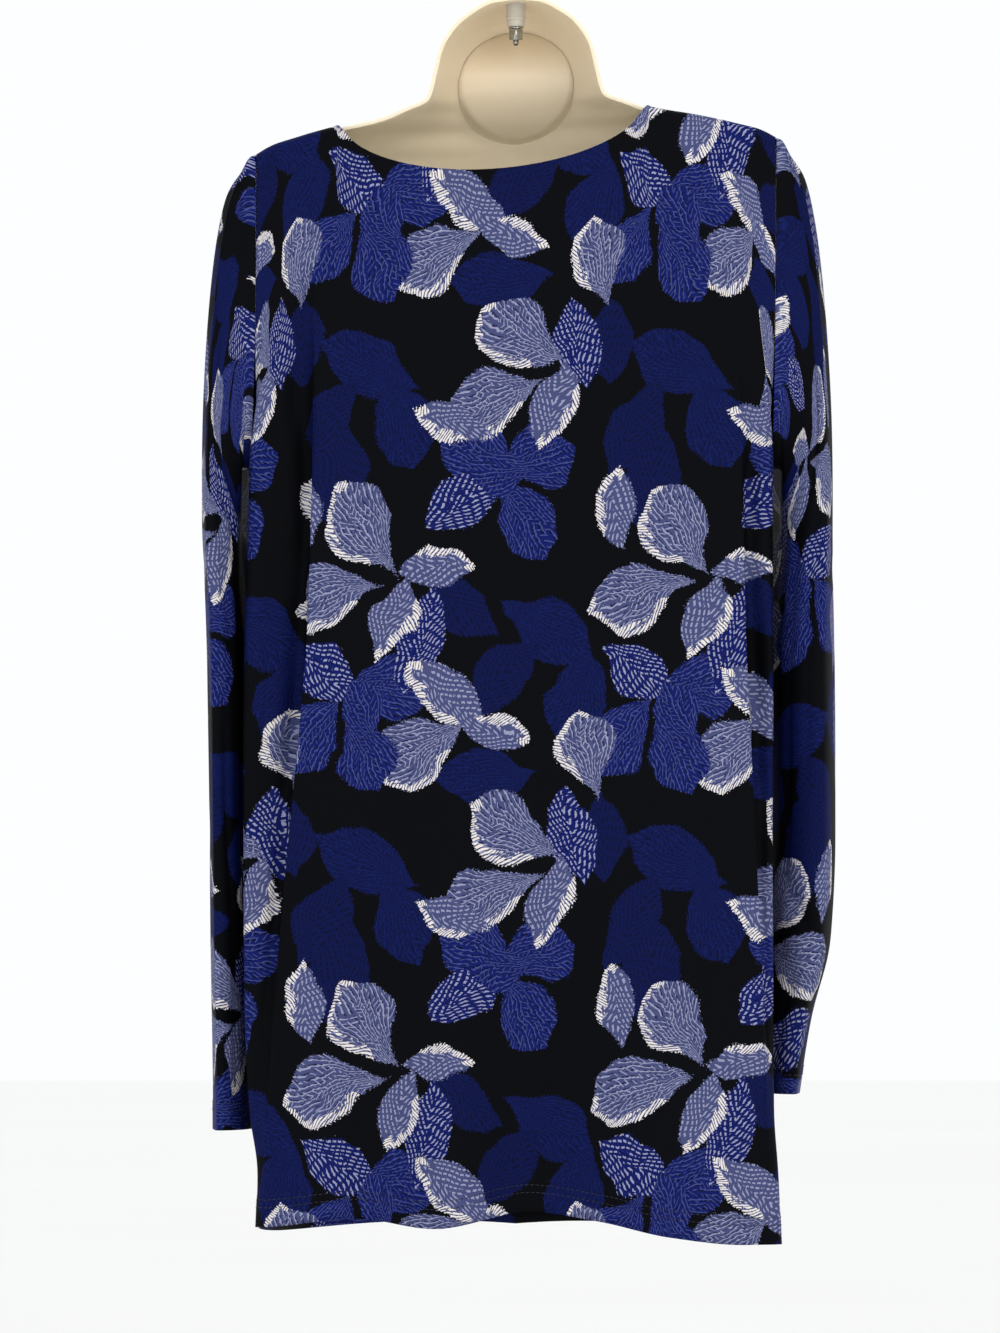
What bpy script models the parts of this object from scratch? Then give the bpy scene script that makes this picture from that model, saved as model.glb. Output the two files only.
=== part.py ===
"""Tunic top with long sleeves, hung on a hollow-backed torso form with a wire hook.

Metres, +Z up. The wearer's front faces -Y and the wearer's left is +X. The origin is the top of
the hook's bore, where a rail carries it. The lengths below are written in millimetres.
"""

import math
from collections import namedtuple

import bmesh
import bpy
from mathutils import Vector

MM = 0.001

# Cloth and seams
CLOTH = 1.2
SEAM_GAP = 0.3
REST_GAP = 0.5

# Torso form: each row has where its back rim lies, its half width, and its depth from there.
# The rim bends forward past the shoulder blades
FORM_WALL = 2.5
RIM_BEND_START = 140.0
RIM_BEND_RUN = 40.0
RIM_BEND = 25.0
LEAN = 0.033
NECK_DISH_Z = -135.0
NECK_DISH_HALF = 34.5
NECK_DISH_Y = -31.0
NECK_DISH_RISE = 29.0
NECK_DISH_SLOPE = 0.28
NECK_DISH_SOFT = 9.0

FormRow = namedtuple("FormRow", "z rim half depth power")
FORM_ROWS = [
    FormRow(-78.0, 38.0, 0.0, 44.0, 2.0),
    FormRow(-79.5, 38.0, 15.0, 58.0, 2.0),
    FormRow(-85.0, 38.0, 27.0, 74.0, 2.0),
    FormRow(-95.0, 38.0, 40.0, 86.0, 2.0),
    FormRow(-110.0, 38.0, 49.5, 93.0, 2.0),
    FormRow(-128.0, 38.0, 54.0, 96.0, 2.0),
    FormRow(-141.7, 38.0, 58.0, 99.0, 1.9),
    FormRow(-148.5, 38.0, 73.0, 101.0, 1.7),
    FormRow(-154.0, 38.0, 87.0, 103.0, 1.6),
    FormRow(-160.6, 38.0, 119.0, 106.0, 1.5),
    FormRow(-170.6, 38.0, 154.0, 109.0, 1.4),
    FormRow(-178.0, 38.0, 168.0, 112.0, 1.45),
    FormRow(-200.0, 38.0, 177.0, 120.0, 1.6),
    FormRow(-240.0, 36.0, 179.0, 131.0, 1.9),
    FormRow(-300.0, 29.0, 172.0, 142.0, 2.1),
    FormRow(-345.0, 24.0, 157.0, 145.0, 2.2),
    FormRow(-400.0, 21.0, 148.0, 144.0, 2.2),
    FormRow(-470.0, 20.0, 134.0, 131.0, 2.2),
    FormRow(-530.0, 20.0, 127.0, 118.0, 2.2),
    FormRow(-600.0, 20.0, 137.0, 123.0, 2.2),
    FormRow(-690.0, 20.0, 152.0, 133.0, 2.2),
    FormRow(-770.0, 20.0, 155.0, 135.0, 2.2),
]
FORM_STEP = 34.0
NECK_STEP = 7.0
NECK_END_Z = -178.0
FORM_COLUMNS = 32
RIM_MARGIN = 1.2
SHOULDER_TOP_Z = -141.0
SHOULDER_LOW_Z = -240.0
TOP_SEARCHES = 14

# Hook: bent wire through a moulded boss, held below by a washer and a hexagon nut
WIRE_R = 2.0
CROOK_R = 17.0
CROOK_TURN = 205.0
SHANK_END_Z = -108.5
SHANK_LEVELS = [SHANK_END_Z, -90.0, -74.0]
SHANK_TOP_Z = -66.0
SHANK_REACH = 62.0
SHANK_PARTS = 7
CROOK_PARTS = 14
BOSS_R = 6.0
BOSS_TOP_Z = -80.0
BOSS_END_Z = -96.0
DRILL_R = 2.4
WASHER_R = 5.0
WASHER_THICK = 1.0
NUT_R = 4.6
NUT_TALL = 7.0
FIT_GAP = 0.3

# Tunic: where the main lines lie
CHEST_Z = -385.0
SEAM_Y = 34.0
BACK_Y = 48.0
WIDEST_Y = 33.0
SHOULDER_BEND = 5.5
TIP_X = 168.0
NECK_LEFT_X = 116.0
NECK_RIGHT_X = 86.0
NECK_BACK_RUN = 45.7
NECK_BACK_POWER = 0.9
NECK_EDGE_RUN = 8.0
NECK_FRONT_DROP = 95.0
NECK_FRONT_POWER = 2.0
FRONT_NECK_SHARES = (0.60, 0.50)
BACK_POWER = 4.5
FRONT_POWER = 2.1
CREST = 0.70
WALL_END = 0.80
RELIEF_END = 0.97
UNDERCUT = 3.0
UNDERCUT_FOLD = 16.0
BACK_FALL_POWER = 2.2
BACK_EDGE_POWER = 0.667
FRONT_EDGE_SHARE = 0.72
FRONT_LIFT_SHARE = 0.5
FRONT_HOLLOW = 10.0
FRONT_REACH = 285.0
FORM_EASE = 3.2
SHOULDER_EASE = 1.5
CHEST_EASE = 3.8
SHOULDER_END_Z = -205.0
TIP_EASE = 1.4
FOLD_RUN = 6.0

# The body at each height: where its two edges lie, how far its front stands off the widest
# line, the run of cloth from the widest line to the side seam, the two long folds of the back
# and the depth of the hem's waves
BodyRow = namedtuple(
    "BodyRow", "z left right front seam left_crest right_crest left_fold right_fold wave"
)
BODY_ROWS = [
    BodyRow(-226.0, 172.0, 166.4, 150.0, 26.0, 132.0, 147.0, 0.0, 0.0, 0.0),
    BodyRow(-296.0, 172.0, 166.4, 155.0, 26.0, 132.0, 147.0, 4.0, 0.0, 0.0),
    BodyRow(-385.0, 172.5, 166.4, 160.0, 26.0, 132.0, 147.0, 14.0, 5.0, 0.0),
    BodyRow(-471.0, 175.0, 166.4, 160.0, 26.0, 134.0, 148.0, 17.0, 13.0, 0.0),
    BodyRow(-585.0, 176.5, 166.4, 158.0, 24.0, 143.0, 153.0, 16.0, 13.0, 0.5),
    BodyRow(-720.0, 175.5, 166.4, 160.0, 20.0, 156.0, 160.0, 10.0, 7.0, 3.0),
    BodyRow(-800.0, 172.5, 167.0, 162.0, 14.0, 162.0, 163.0, 4.0, 2.0, 7.0),
    BodyRow(-840.0, 167.0, 169.7, 163.0, 12.0, 163.0, 165.0, 2.0, 1.0, 10.0),
    BodyRow(-890.0, 168.5, 171.5, 164.0, 12.0, 165.0, 167.0, 1.0, 0.0, 12.0),
]

# The hem of the back, from the wearer's left to right: its height, and how far it swings out
HemRow = namedtuple("HemRow", "x z swing")
HEM_ROWS = [
    HemRow(-172.0, -886.0, 0.2),
    HemRow(-130.0, -886.0, 0.7),
    HemRow(-88.0, -881.0, 1.0),
    HemRow(-50.0, -871.5, -0.1),
    HemRow(-7.0, -865.0, -1.0),
    HemRow(43.0, -875.5, 1.0),
    HemRow(86.0, -869.0, -0.7),
    HemRow(130.0, -874.5, 0.6),
    HemRow(172.0, -875.5, 0.1),
]
FRONT_HEM_WAVES = 3
FRONT_HEM_DIP = 3.0

# The sleeves at each height: inner and outer edge, half of their depth, and the middle line
SleeveRow = namedtuple("SleeveRow", "z inner outer half_depth mid_y power")
LEFT_SLEEVE_ROWS = [
    SleeveRow(-425.0, 172.0, 204.0, 58.0, -12.0, 2.3),
    SleeveRow(-520.0, 168.0, 200.5, 56.0, -24.0, 2.2),
    SleeveRow(-620.0, 170.0, 199.5, 52.0, -24.0, 2.2),
    SleeveRow(-720.0, 170.0, 198.0, 48.0, -22.0, 2.2),
    SleeveRow(-813.0, 169.0, 197.0, 46.0, -22.0, 2.3),
]
RIGHT_SLEEVE_ROWS = [
    SleeveRow(-425.0, 170.0, 206.0, 58.0, -12.0, 2.3),
    SleeveRow(-520.0, 163.0, 207.5, 56.0, -26.0, 2.2),
    SleeveRow(-620.0, 164.0, 208.5, 52.0, -32.0, 2.2),
    SleeveRow(-690.0, 162.0, 205.0, 49.0, -34.0, 2.2),
    SleeveRow(-740.0, 158.0, 193.0, 47.0, -36.0, 2.3),
    SleeveRow(-790.0, 155.0, 185.0, 46.0, -38.0, 2.3),
]
SLEEVE_SHEAR = 0.20
UNDERARM_CLEAR = 7.0
UNDERARM_SHARE = 0.17
UNDERARM_GAP = 0.6
UNDERARM_TURN = 0.3
SLEEVE_CLEAR = 3.0
CLEAR_RUN = 100.0
UNDERARM_LEAVE = 12.0
CAP_LEAVE = 72.0
UNDERARM_REACH = 14.0
CAP_REACH = 30.0
CAP_FALL = 35.0
UNDERARM_ARRIVE = 36.0
CAP_ARRIVE = 250.0
UNDERARM_END = 0.6
CAP_TURN_END = 0.7
HEADING_SHARE = 0.95
HEADING_ROW = 0.05
HEADING_STEP = 0.01
HEADING_SHIFTS = (-0.04, -0.02, 0.0, 0.02, 0.04)

# How finely the solids are divided. A station is a share of the half width, from the middle
FOLD_STATIONS = [CREST, 0.725, 0.75, 0.775, WALL_END, 0.87, 0.94, 1.0]
LEFT_BACK_STATIONS = [0.12, 0.24, 0.35, 0.45, 0.53, 0.58, 0.615] + FOLD_STATIONS
RIGHT_BACK_STATIONS = [0.12, 0.23, 0.32, 0.375, 0.41, 0.50, 0.60] + FOLD_STATIONS
LEFT_FRONT_STATIONS = [0.10, 0.20, 0.30, 0.39, 0.45, 0.49, 0.52, 0.55, 0.60, 0.70, 0.80, 0.90, 1.0]
RIGHT_FRONT_STATIONS = [0.10, 0.20, 0.29, 0.35, 0.39, 0.42, 0.45, 0.50, 0.60, 0.70, 0.80, 0.90, 1.0]
YOKE_ROWS = [0.0, 0.036, 0.055, 0.074, 0.12, 0.20, 0.30, 0.41, 0.53, 0.65, 0.77, 0.89, 1.0]
HEM_SHARES = [0.04, 0.10, 0.18, 0.27, 0.36, 0.45, 0.54, 0.63, 0.72, 0.81, 0.90, 1.0]
CAP_ROWS = [0.0, 0.08, 0.17, 0.27, 0.39, 0.54, 0.70, 0.86, 1.0]
SLEEVE_SHARES = [0.07, 0.18, 0.30, 0.42, 0.54, 0.66, 0.78, 0.90, 1.0]
SECTION_STEPS = 48
DRAPE_STEPS = 40


def smooth(share):
    """Smooth rise from 0 to 1."""
    share = min(1.0, max(0.0, share))
    return share * share * (3.0 - 2.0 * share)


def mix(first, last, share):
    return first + (last - first) * share


def read(rows, column, at, key="z"):
    """A column of a table at a height, on a smooth curve that never passes its own rows."""
    knots = sorted((getattr(row, key), getattr(row, column)) for row in rows)
    if at <= knots[0][0]:
        return knots[0][1]
    if at >= knots[-1][0]:
        return knots[-1][1]
    i = max(k for k in range(len(knots) - 1) if knots[k][0] <= at)
    slopes = [(b[1] - a[1]) / (b[0] - a[0]) for a, b in zip(knots, knots[1:])]

    def bend(k):
        if k == 0 or k == len(knots) - 1 or slopes[k - 1] * slopes[k] <= 0:
            return 0.0 if 0 < k < len(knots) - 1 else slopes[min(k, len(slopes) - 1)]
        return 2 * slopes[k - 1] * slopes[k] / (slopes[k - 1] + slopes[k])

    run = knots[i + 1][0] - knots[i][0]
    t = (at - knots[i][0]) / run
    return hermite(knots[i][1], knots[i + 1][1], bend(i) * run, bend(i + 1) * run, t)


def hermite(first, last, leave, arrive, t):
    """The cubic between two values or points, with its rates at both ends."""
    return (
        first * (2 * t**3 - 3 * t**2 + 1)
        + leave * (t**3 - 2 * t**2 + t)
        + last * (3 * t**2 - 2 * t**3)
        + arrive * (t**3 - t**2)
    )


# Torso form


def rim_y(x, z):
    bend = RIM_BEND * (max(0.0, abs(x) - RIM_BEND_START) / RIM_BEND_RUN) ** 2
    return read(FORM_ROWS, "rim", z) - bend


def form_front(x, z):
    """The form's front surface at a place seen from the front, or None past its edge."""
    half = read(FORM_ROWS, "half", z)
    if abs(x) >= half:
        return None
    power = read(FORM_ROWS, "power", z)
    bulge = (1.0 - (abs(x) / half) ** power) ** (1.0 / power)
    return rim_y(x, z) - read(FORM_ROWS, "depth", z) * bulge


def form_point(across, z):
    """A point of the form's outer face: across runs from rim to rim."""
    half = read(FORM_ROWS, "half", z)
    power = read(FORM_ROWS, "power", z)
    angle = math.pi * across
    x = half * math.copysign(abs(math.cos(angle)) ** (2 / power), math.cos(angle))
    y = rim_y(x, z) - read(FORM_ROWS, "depth", z) * max(0.0, math.sin(angle)) ** (2 / power)
    from_dish = (z - NECK_DISH_Z) / NECK_DISH_HALF
    dish = NECK_DISH_Y - NECK_DISH_RISE * from_dish**2 + NECK_DISH_SLOPE * (z - NECK_DISH_Z)
    return Vector((x, soft_max(y, dish, NECK_DISH_SOFT), z - LEAN * x))


def form_top(x, y):
    """How high the form's shoulder reaches at a place, or None away from it."""
    def inside(z):
        front = form_front(x, z)
        return front is not None and front < y < rim_y(x, z) + RIM_MARGIN

    high, low = SHOULDER_TOP_Z, SHOULDER_LOW_Z
    if not inside(low):
        return None
    for _ in range(TOP_SEARCHES):
        middle = (high + low) / 2
        high, low = (high, middle) if inside(middle) else (middle, low)
    return high - LEAN * x


def off_form(point):
    """Lifts a point of cloth clear of the form's shoulder."""
    top = form_top(point.x, point.y) if point.z > SHOULDER_END_Z else None
    if top is not None:
        ease = mix(SHOULDER_EASE, CHEST_EASE, smooth((SEAM_Y - point.y) / SEAM_Y))
        point.z = max(point.z, top + ease)
    return point


def soft_max(a, b, soft):
    """The larger of two values, with a rounded change from one to the other."""
    return max(a, b) + soft / 4 * max(0.0, 1 - abs(a - b) / soft) ** 2


def form_levels():
    """The heights of the form's rings: those of the table, and more where they lie far apart."""
    levels = [FORM_ROWS[0].z]
    for above, below in zip(FORM_ROWS, FORM_ROWS[1:]):
        step = NECK_STEP if below.z >= NECK_END_Z else FORM_STEP
        parts = math.ceil((above.z - below.z) / step)
        levels += [mix(above.z, below.z, (i + 1) / parts) for i in range(parts)]
    return levels


# Tunic body


def edge_x(side, z):
    return read(BODY_ROWS, "left" if side > 0 else "right", z)


def neck_x(side):
    return NECK_LEFT_X if side > 0 else NECK_RIGHT_X


def crest_x(side, z):
    return read(BODY_ROWS, "left_crest" if side > 0 else "right_crest", z)


def body_side_x(side, y, z):
    """How far out the front half of the body lies at a depth."""
    back_of = min(1.0, max(0.0, (WIDEST_Y - y) / read(BODY_ROWS, "front", z)))
    return edge_x(side, z) * (1 - back_of**FRONT_POWER) ** (1 / FRONT_POWER)


def half_section(side, z):
    """The ring of cloth at a height, from the middle of the back to the middle of the front."""
    width = edge_x(side, z)
    points = []
    for i in range(2 * SECTION_STEPS + 1):
        angle = math.pi / 2 * i / SECTION_STEPS
        back = angle <= math.pi / 2
        power = BACK_POWER if back else FRONT_POWER
        depth = BACK_Y - WIDEST_Y if back else read(BODY_ROWS, "front", z)
        x = width * abs(math.sin(angle)) ** (2 / power)
        y = WIDEST_Y + math.copysign(abs(math.cos(angle)) ** (2 / power), math.cos(angle)) * depth
        points.append((x, y))
    return points


def lengths(points):
    """The length along a line of points up to each of them."""
    run = [0.0]
    for a, b in zip(points, points[1:]):
        run.append(run[-1] + math.dist(a, b))
    return run


def along(points, run, at):
    """The point of a line at a length along it."""
    at = min(max(at, 0.0), run[-1])
    i = next((k for k in range(1, len(run)) if run[k] >= at), len(run) - 1)
    t = (at - run[i - 1]) / max(run[i] - run[i - 1], 1e-9)
    return [mix(a, b, t) for a, b in zip(points[i - 1], points[i])]


def seam_length(z, run):
    """The length from the middle of the back to the side seam."""
    return run[SECTION_STEPS] + read(BODY_ROWS, "seam", z)


def hang(side, share, z, front):
    """The body below the chest, or the ring that the yoke ends on. Share runs from the middle
    of the panel to the side seam."""
    points = half_section(side, z)
    run = lengths(points)
    seam = seam_length(z, run)
    if front:
        x, y = along(points, run, run[-1] + (seam + SEAM_GAP / 2 - run[-1]) * share)
        wave = math.cos(FRONT_HEM_WAVES * math.pi * share) * read(BODY_ROWS, "wave", z)
        return Vector((side * x, y - wave * (1 - share**4), z))
    seam -= SEAM_GAP / 2
    crest = crest_x(side, z)
    fold = read(BODY_ROWS, "left_fold" if side > 0 else "right_fold", z)
    wall = smooth((share - CREST) / (WALL_END - CREST))
    inside = crest * min(share, CREST) / CREST
    outside = (seam - crest - FOLD_RUN) * max(0.0, share - WALL_END) / (1 - WALL_END)
    x, y = along(points, run, inside + FOLD_RUN * wall + outside)
    relief = 1 - smooth((share - WALL_END) / (RELIEF_END - WALL_END))
    tuck = UNDERCUT * 4 * wall * (1 - wall) * fold / UNDERCUT_FOLD
    swing = read(HEM_ROWS, "swing", side * x, key="x") * read(BODY_ROWS, "wave", z)
    return Vector((side * (x - tuck), y - fold * wall * relief + swing * (1 - share**6), z))


def shoulder_z(x):
    """The height of the cloth over the form's shoulder."""
    knots = [row for row in FORM_ROWS if NECK_END_Z <= row.z <= SHOULDER_TOP_Z]
    ease = REST_GAP + TIP_EASE * smooth((abs(x) - RIM_BEND_START) / (TIP_X - RIM_BEND_START))
    return read(knots, "z", abs(x), key="half") + ease + CLOTH / 2 - LEAN * x


def chord_z(x):
    """The height of a straight line between the two ends of the shoulder seams at the neck."""
    across = (x + NECK_RIGHT_X) / (NECK_LEFT_X + NECK_RIGHT_X)
    return mix(shoulder_z(-NECK_RIGHT_X), shoulder_z(NECK_LEFT_X), across)


def top_place(side, share, neck_shares):
    """Where a line down the panel starts: its place across, and how open the neckline is there,
    from 0 at the shoulder to 1 in its middle."""
    neck_share = neck_shares[0 if side > 0 else 1]
    if share >= neck_share:
        return side * mix(neck_x(side), TIP_X, (share - neck_share) / (1 - neck_share)), 0.0
    turn = math.pi * (side * share + neck_shares[1]) / sum(neck_shares)
    middle = (NECK_LEFT_X - NECK_RIGHT_X) / 2
    return middle - (NECK_LEFT_X + NECK_RIGHT_X) / 2 * math.cos(turn), math.sin(turn)


def back_yoke(side, share, down):
    """The back from the shoulder seam, over the form's rim and down to the chest."""
    neck_shares = [CREST * neck_x(s) / crest_x(s, CHEST_Z) for s in (1.0, -1.0)]
    start_x, opening = top_place(side, share, neck_shares)
    flat = BACK_Y - SHOULDER_BEND - SEAM_Y
    bend = SHOULDER_BEND * math.pi / 2
    start = NECK_BACK_RUN * opening ** NECK_BACK_POWER
    top = shoulder_z(start_x)
    if opening > 0:
        top = mix(top, chord_z(start_x), smooth((start - flat) / (bend + NECK_EDGE_RUN)))
    total = flat + bend + top - SHOULDER_BEND - CHEST_Z
    at = mix(max(start, SEAM_GAP / 2), total, down)
    turn = min(max(at - flat, 0.0), bend) / SHOULDER_BEND
    y = SEAM_Y + min(at, flat) + SHOULDER_BEND * math.sin(turn)
    below = max(0.0, at - flat - bend)
    z = top - SHOULDER_BEND * (1 - math.cos(turn)) - below
    end = hang(side, share, CHEST_Z, front=False)
    fall = below / (total - flat - bend)
    plain = Vector((mix(start_x, end.x, smooth(fall)), y + (end.y - BACK_Y) * fall**BACK_FALL_POWER, z))
    if fall <= 0:
        return off_form(plain)
    quarter = fall * math.pi / 2
    edge_z = mix(top - SHOULDER_BEND, CHEST_Z, math.sin(quarter) ** BACK_EDGE_POWER)
    edge_y = BACK_Y + (end.y - BACK_Y) * (1 - max(0.0, math.cos(quarter)) ** BACK_EDGE_POWER)
    edge = Vector((plain.x, edge_y, edge_z))
    return plain.lerp(edge, smooth((share - WALL_END) / (1 - WALL_END)))


def front_yoke(side, share, down):
    """The front from the shoulder seam or the neckline down to the chest."""
    end = hang(side, share, CHEST_Z, front=True)
    start_x, opening = top_place(side, share, FRONT_NECK_SHARES)
    top = mix(shoulder_z(start_x), chord_z(start_x), smooth(opening / FRONT_LIFT_SHARE))
    top -= NECK_FRONT_DROP * opening**NECK_FRONT_POWER
    start = Vector((start_x, on_form(start_x, top, SEAM_Y - SEAM_GAP / 2), top))
    inner = draped(start, end, down)
    ease = 3 * down**2 - 2 * down**3
    edge_y = mix(SEAM_Y - SEAM_GAP / 2, end.y, ease) - FRONT_REACH * down * (1 - down)
    edge_x_now = start_x + (end.x - start_x) * ease - side * FRONT_HOLLOW * math.sin(math.pi * down)
    edge = Vector((edge_x_now, edge_y, mix(top, CHEST_Z, ease)))
    return off_form(inner.lerp(edge, smooth((share - FRONT_EDGE_SHARE) / (1 - FRONT_EDGE_SHARE))))


def on_form(x, z, otherwise):
    """Where the cloth lies if the form holds it out at that place."""
    front = form_front(x, z + LEAN * x)
    return otherwise if front is None else min(otherwise, front - FORM_EASE)


def draped(start, end, share):
    """A point of the line of cloth that is drawn tight over the form from start to end."""
    line = [start]
    for i in range(1, DRAPE_STEPS + 1):
        place = start.lerp(end, (i / DRAPE_STEPS) ** 2)
        if i < DRAPE_STEPS:
            held = form_front(place.x, place.z - FORM_EASE + LEAN * place.x)
            if held is None:
                continue
            place.y = held - FORM_EASE
        while len(line) > 1 and bends_in(line[-2], line[-1], place):
            line.pop()
        line.append(place)
    run = lengths(line)
    return Vector(along(line, run, run[-1] * share))


def bends_in(above, middle, below):
    """Whether a drawn line would leave the middle point for a straight run past it."""
    first = middle - above
    second = below - middle
    return first.y * second.z - first.z * second.y <= 0


def back_panel_point(side, share, row):
    if row <= 1.0:
        point = back_yoke(side, share, row)
    else:
        x = hang(side, share, CHEST_Z, front=False).x
        z = mix(CHEST_Z, read(HEM_ROWS, "z", x, key="x"), row - 1.0)
        point = hang(side, share, z, front=False)
    return trimmed(point, side, share, row)


def front_panel_point(side, share, row):
    if row <= 1.0:
        point = front_yoke(side, share, row)
    else:
        seam_x = hang(side, 1.0, CHEST_Z, front=True).x
        level = read(HEM_ROWS, "z", seam_x, key="x")
        middle = (HEM_ROWS[0].z + HEM_ROWS[-1].z) / 2
        hem = mix(middle, level, share**2) + FRONT_HEM_DIP * math.sin(2 * math.pi * share)
        z = mix(CHEST_Z, hem, row - 1.0)
        point = hang(side, share, z, front=True)
    return trimmed(point, side, share, row)


def trimmed(point, side, share, row):
    """The armhole's edge stands back from the sleeve by half a seam gap."""
    if row < 1.0 and share >= 1.0:
        point.x -= side * SEAM_GAP / 2
    return point


# Sleeves


def armhole_point(side, around):
    """The armhole, from the underarm up the back to the shoulder and down the front."""
    around %= 1.0
    if around <= 0.5:
        return back_yoke(side, 1.0, sleeve_row(1 - 2 * around))
    return front_yoke(side, 1.0, sleeve_row(2 * around - 1))


def sleeve_row(share):
    """Spreads the ring's points over the armhole as the panels' rows are spread."""
    place = share * (len(YOKE_ROWS) - 1)
    i = min(int(place), len(YOKE_ROWS) - 2)
    return mix(YOKE_ROWS[i], YOKE_ROWS[i + 1], place - i)


def sleeve_ring(side, around, z):
    rows = LEFT_SLEEVE_ROWS if side > 0 else RIGHT_SLEEVE_ROWS
    inner = read(rows, "inner", z)
    outer = read(rows, "outer", z)
    power = read(rows, "power", z)
    angle = 2 * math.pi * around
    out = -math.copysign(abs(math.cos(angle)) ** (2 / power), math.cos(angle))
    back = math.copysign(abs(math.sin(angle)) ** (2 / power), math.sin(angle))
    y = read(rows, "mid_y", z) + read(rows, "half_depth", z) * back
    x = (inner + outer) / 2 + (outer - inner) / 2 * out
    x += SLEEVE_SHEAR * (y - read(rows, "mid_y", z)) * (1 - max(0.0, out))
    return Vector((side * clear_of_body(side, x, y, z), y, z))


def clear_of_body(side, x, y, z):
    clear = mix(UNDERARM_CLEAR, SLEEVE_CLEAR, smooth((LEFT_SLEEVE_ROWS[0].z - z) / CLEAR_RUN))
    return max(x, body_side_x(side, y, z) + clear)


def panel_heading(side, around):
    """The way in which the panel's cloth reaches the armhole, square to the seam."""
    along_seam = armhole_point(side, around + HEADING_STEP) - armhole_point(side, around - HEADING_STEP)
    panel = back_panel_point if around <= 0.5 else front_panel_point
    row = sleeve_row(abs(1 - 2 * around))
    heading = armhole_point(side, around) - panel(side, HEADING_SHARE, row + HEADING_ROW)
    return (heading - heading.project(along_seam)).normalized()


def sleeve_heading(side, around):
    """The panels' heading, evened out along the seam."""
    near = [panel_heading(side, (around + shift) % 1.0) for shift in HEADING_SHIFTS]
    return sum(near, Vector()).normalized()


def sleeve_cap(side, around, down):
    """The cap, from the armhole out over the shoulder and down to the first level ring."""
    rows = LEFT_SLEEVE_ROWS if side > 0 else RIGHT_SLEEVE_ROWS
    end = sleeve_ring(side, around, rows[0].z)
    upper = (1 - math.cos(2 * math.pi * around)) / 2
    heading = sleeve_heading(side, around)
    heading.y *= mix(UNDERARM_TURN, 1.0, smooth(upper / CAP_TURN_END))
    leave = heading * mix(UNDERARM_LEAVE, CAP_LEAVE, upper)
    leave += Vector((side * mix(UNDERARM_REACH, CAP_REACH, upper), 0.0, -CAP_FALL * upper))
    turn = heading.angle(leave)
    apart = SEAM_GAP + CLOTH / 2 * math.sin(turn) - SEAM_GAP / 2 * math.cos(turn)
    apart += UNDERARM_GAP * (1 - smooth(upper / UNDERARM_END))
    start = armhole_point(side, around) + leave.normalized() * apart
    arrive = Vector((0.0, 0.0, -mix(UNDERARM_ARRIVE, CAP_ARRIVE, upper)))
    point = hermite(start, end, leave, arrive, down)
    reach = UNDERARM_CLEAR * smooth(down / UNDERARM_SHARE) * (1 - smooth(upper / UNDERARM_END))
    point.x = side * max(side * point.x, side * start.x + reach)
    return off_form(point)


def sleeve_point(side, around, row):
    rows = LEFT_SLEEVE_ROWS if side > 0 else RIGHT_SLEEVE_ROWS
    around %= 1.0
    if row <= 1.0:
        return sleeve_cap(side, around, row)
    return sleeve_ring(side, around, mix(rows[0].z, rows[-1].z, row - 1.0))


# Building


def material(name, colour, roughness, metallic=0.0):
    made = bpy.data.materials.new(name)
    made.use_nodes = True
    made.diffuse_color = (*colour, 1.0)
    shader = made.node_tree.nodes["Principled BSDF"]
    shader.inputs["Base Color"].default_value = (*colour, 1.0)
    shader.inputs["Roughness"].default_value = roughness
    shader.inputs["Metallic"].default_value = metallic
    return made


def finish_object(name, bm, look):
    mesh = bpy.data.meshes.new(name)
    bm.to_mesh(mesh)
    bm.free()
    mesh.shade_smooth()
    mesh.set_sharp_from_angle(angle=math.radians(40))
    mesh.materials.append(look)
    made = bpy.data.objects.new(name, mesh)
    bpy.context.scene.collection.objects.link(made)
    return made


def sheet(name, columns, rows, place, look, wall, closed=False):
    """A wall of cloth or plastic: a grid whose columns and rows are placed by a function."""
    bm = bmesh.new()
    across = len(columns) - 1
    down = len(rows) - 1
    bmesh.ops.create_grid(bm, x_segments=across, y_segments=down, size=0.5)
    for vert in bm.verts:
        column = columns[round((vert.co.x + 0.5) * across)]
        row = rows[round((0.5 - vert.co.y) * down)]
        vert.co = place(column, row) * MM
    if closed:
        bmesh.ops.remove_doubles(bm, verts=bm.verts, dist=1e-6)
    made = finish_object(name, bm, look)
    thick = made.modifiers.new("Wall", "SOLIDIFY")
    thick.thickness = wall * MM
    thick.offset = 0.0
    thick.use_even_offset = True
    return made


def panel_columns(left, right):
    """The stations of a panel from the wearer's right seam to the left seam."""
    return [(-1.0, share) for share in reversed(right)] + [(1.0, 0.0)] + [(1.0, s) for s in left]


def cylinder(name, radius, low, high, look, sides=24):
    bm = bmesh.new()
    bmesh.ops.create_cone(
        bm, cap_ends=True, segments=sides, radius1=radius * MM, radius2=radius * MM,
        depth=(high - low) * MM,
    )
    bmesh.ops.translate(bm, verts=bm.verts, vec=(0.0, 0.0, (low + high) / 2 * MM))
    return finish_object(name, bm, look)


def bored(made, radius, low, high):
    """Drills a hole down the part's own axis."""
    drill = cylinder(made.name + "_drill", radius, low - 1.0, high + 1.0, made.data.materials[0])
    drill.hide_render = True
    drill.display_type = "WIRE"
    cut = made.modifiers.new("Drill", "BOOLEAN")
    cut.operation = "DIFFERENCE"
    cut.object = drill


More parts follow.
